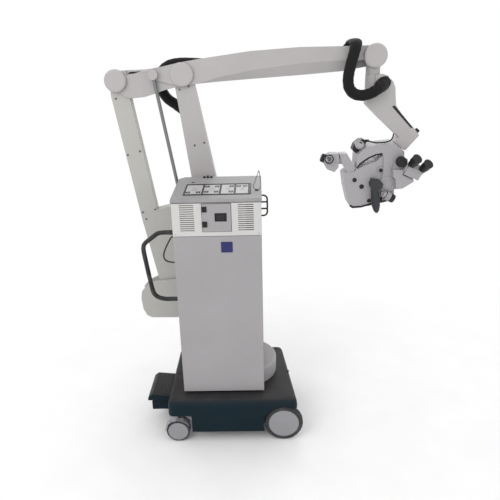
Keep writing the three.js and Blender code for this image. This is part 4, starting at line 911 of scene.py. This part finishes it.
LINK_FRONT = 432
LINK_SCREWS = (
    ("left", "balance_link", ((-716, 1724), (-683, 1436), (-617, 1454), (-563, 1136), (-631, 1121),
                              (-616, 1082))),
    ("right", "link", ((-388, 1762), (-340, 1776), (-327, 1479), (-276, 1492))),
)
for side, body, places in LINK_SCREWS:
    for number, (screw_x, screw_z) in enumerate(places):
        screw(f"{side}_link_screw_{number}", screw_x, LINK_FRONT, screw_z, 5.5, body, WIRE, 1.8)

# ---------------------------------------------------------------- microscope details

BODY_FRONT = 399
YOKE_FRONT = 391
HEAD_CAPS = [("cap_upper_left", 512, 1284, 11), ("cap_lower_left", 551, 1248, 12),
             ("cap_foot_left", 593, 1170, 10), ("cap_foot_right", 655, 1178, 10)]
for name, cap_x, cap_z, cap_r in HEAD_CAPS:
    turned(name, (cap_x, BODY_FRONT, cap_z), (0, -1, 0),
           [(cap_r, -0.4), (cap_r, 4), (cap_r - 1.5, 5.6), (cap_r * 0.55, 6), (cap_r * 0.5, 4.6),
            (0, 4.6)], BLACK, "microscope", 32)
turned("yoke_cap_ring", (646, YOKE_FRONT, 1335), (0, -1, 0),
       [(17, -0.3), (17, 1.2), (15.5, 1.8), (0, 1.8)], HEAD_PAINT, "yoke", 40)
turned("yoke_cap", (646, YOKE_FRONT - 1.6, 1335), (0, -1, 0),
       [(10.5, 0), (10.5, 4), (9, 5.4), (5, 5.8), (0, 4.6)], BLACK, "yoke", 32)
turned("tilt_boss", (683, YOKE_FRONT, 1258), (0, -1, 0),
       [(43, -0.3), (43, 2.4), (41, 3.4), (36, 3.6), (34, 2.8), (30, 2.8), (28.6, 4), (25.4, 4.2)],
       HEAD_PAINT, "yoke", 72)

# Painted shadow: a black strip in the gap below the yoke plate's curved edge, where the plate's edge
# shades the body.
YOKE_GAP_SHADOW = [
    (519, 1353), (531, 1371), (546, 1383), (577, 1404), (614, 1420), (649, 1426),
    (651, 1418), (616, 1412), (581, 1395), (551, 1374), (537, 1362), (525, 1346),
]
slab("yoke_gap_painted_shadow", YOKE_GAP_SHADOW, (392.4, 395.4), BLACK, "yoke", 0.6)

# Rubber strip along the body's lower edge.
STRIP = [
    (490, 1142), (506, 1130), (554, 1133), (613, 1149), (673, 1160), (708, 1168),
    (712, 1177), (672, 1170), (611, 1159), (553, 1143), (509, 1141), (496, 1150),
]
slab("body_strip", STRIP, (396.6, 400.5), BLACK, "microscope", 0.8)

# Dark slot along the shoulder's upper right edge.
slab("shoulder_slot", [(692, 1655), (704, 1660), (806, 1548), (796, 1545)], (422.2, 425), BLACK,
     "shoulder", 0.5)

# Observer tube: dark lens towards the camera and a ribbed cap at its side.
SIGHT = Vector((-0.12, -0.9, 0.42)).normalized()
sight_end = Vector((376, 404, 1388)) + SIGHT * 34
turned("observer_rim", sight_end, SIGHT,
       [(21.6, -9), (23.6, -8), (23.8, 0.6), (20, 1.6), (17.6, 0.8), (17.4, -1.5)], BLACK,
       "observer", 48, 0.4)
turned("observer_lens", sight_end, SIGHT, [(17.6, -1.6), (14, 0.0), (8, 1.0), (0, 1.4)], LENS,
       "observer", 48, 0)
turned("observer_side_cap", (359, 434, 1393.6), (-20, 0, 8),
       [(21, -6), (23, -4), (23.6, 4), (22.4, 5), (22.4, 9), (23, 10), (22, 21), (18, 23.6), (0, 24)],
       BLACK, "observer", 48, 0.4)

# Camera: a grey barrel with a pale ring in its black cradle.
CAMERA_AT = (537, 437, 1464)
CAMERA_DIR = Vector((0.16, -0.95, 0.27)).normalized()
turned("camera_barrel", CAMERA_AT, CAMERA_DIR,
       [(24, -26), (26, -20), (26, -4), (24.6, -3), (24.6, 1), (26, 2), (26, 9), (23, 12), (20, 12.4),
        (18.6, 9), (0, 8.6)], HEAD_PAINT, "yoke", 56, 0.5)
turned("camera_ring", CAMERA_AT, CAMERA_DIR,
       [(19.6, 9.4), (19, 12.8), (14, 13.4), (12.6, 11), (12, 8.8)], FIELD, "yoke",
       48, 0.3)
turned("camera_lead_sleeve", (577.5, 455, 1480), (-1, 0.25, -0.06),
       [(5.6, -12), (6.4, -10), (7.4, 2), (7.4, 8), (6, 10)], BLACK, "yoke", 24, 0.3)

# Focus drum: ribbed grey collar with dark grooves and a tapering black end.
FOCUS_DIR = Vector((0.877, 0, -0.48)).normalized()
FOCUS_START = Vector((676, 372, 1206)) - FOCUS_DIR * 1.6
focus_profile = [(24, 0), (25.4, 1)]
for rib in range(4):
    rib_start = 5 * rib
    focus_profile += [(25.4, 2 + rib_start), (25.4, 4.6 + rib_start),
                      (24.2, 5.2 + rib_start), (24.2, 6.4 + rib_start)]
focus_profile += [(25.2, 22.4), (25.2, 24)]
turned("focus_collar", FOCUS_START, FOCUS_DIR, focus_profile, HEAD_PAINT, "focus",
       64, 0.25)
turned("focus_end", FOCUS_START, FOCUS_DIR,
       [(24.4, 24), (24.4, 28), (23.2, 29), (23.2, 31), (24, 32), (23, 40), (20, 47), (15, 50.4),
        (0, 51)], BLACK, "focus", 64, 0.5)

# ---------------------------------------------------------------- floor, light


# Name, place, aim, disk size and power, in metres and watts.
LIGHTS = (
    ("key", (-2.2, -3.2, 3.4), (0.0, 0.0, 1.0), 2.2, 40),
    ("rim", (0.5, 3.2, 3.0), (0.0, 0.0, 1.2), 2.5, 20),
)
FLOOR_HALF = 30.0


def area_light(name, place, target, size, power):
    """A white disk light that looks at its target."""
    data = bpy.data.lights.new(name, "AREA")
    data.shape = "DISK"
    data.size = size
    data.energy = power
    lamp = bpy.data.objects.new(name, data)
    bpy.context.scene.collection.objects.link(lamp)
    lamp.location = place
    lamp.rotation_euler = (Vector(target) - Vector(place)).to_track_quat("-Z", "Y").to_euler()


def lit_floor():
    """A pale floor that fades into the studio white away from the object."""
    s = Shader("pale_floor")
    speckle = s.noise(3.0, 5, 0.6)
    tint = s.ramp(speckle, [(0.3, (0.88, 0.88, 0.88)), (0.7, (0.92, 0.92, 0.92))])
    s.set(tint, 0.7, Specular_IOR_Level=0.2)
    distance = s.node("ShaderNodeVectorMath", operation="LENGTH")
    s.link(s.place, distance.inputs[0])
    fade = s.span(distance.outputs["Value"], 0.0, 1.0, 0.9, 2.6)
    glow = s.node("ShaderNodeEmission")
    glow.inputs["Color"].default_value = (1, 1, 1, 1)
    blend = s.node("ShaderNodeMixShader")
    s.link(fade, blend.inputs[0])
    s.link(s.shader.outputs[0], blend.inputs[1])
    s.link(glow.outputs[0], blend.inputs[2])
    s.link(blend.outputs[0], s.tree.nodes["Material Output"].inputs["Surface"])
    return s.material


def make_stage():
    """The floor, a white studio and the lights."""
    mesh = bpy.data.meshes.new("floor")
    corners = [(x * FLOOR_HALF, y * FLOOR_HALF, 0) for x, y in ((-1, -1), (1, -1), (1, 1), (-1, 1))]
    mesh.from_pydata(corners, [], [(0, 1, 2, 3)])
    mesh.materials.append(lit_floor())
    floor = bpy.data.objects.new("floor", mesh)
    bpy.context.scene.collection.objects.link(floor)
    world = bpy.data.worlds.new("studio")
    world.use_nodes = True
    background = world.node_tree.nodes["Background"]
    background.inputs["Color"].default_value = (1.0, 1.0, 1.0, 1)
    background.inputs["Strength"].default_value = 1.0
    bpy.context.scene.world = world
    for light in LIGHTS:
        area_light(*light)
    bpy.context.scene.view_settings.view_transform = "Standard"


make_stage()
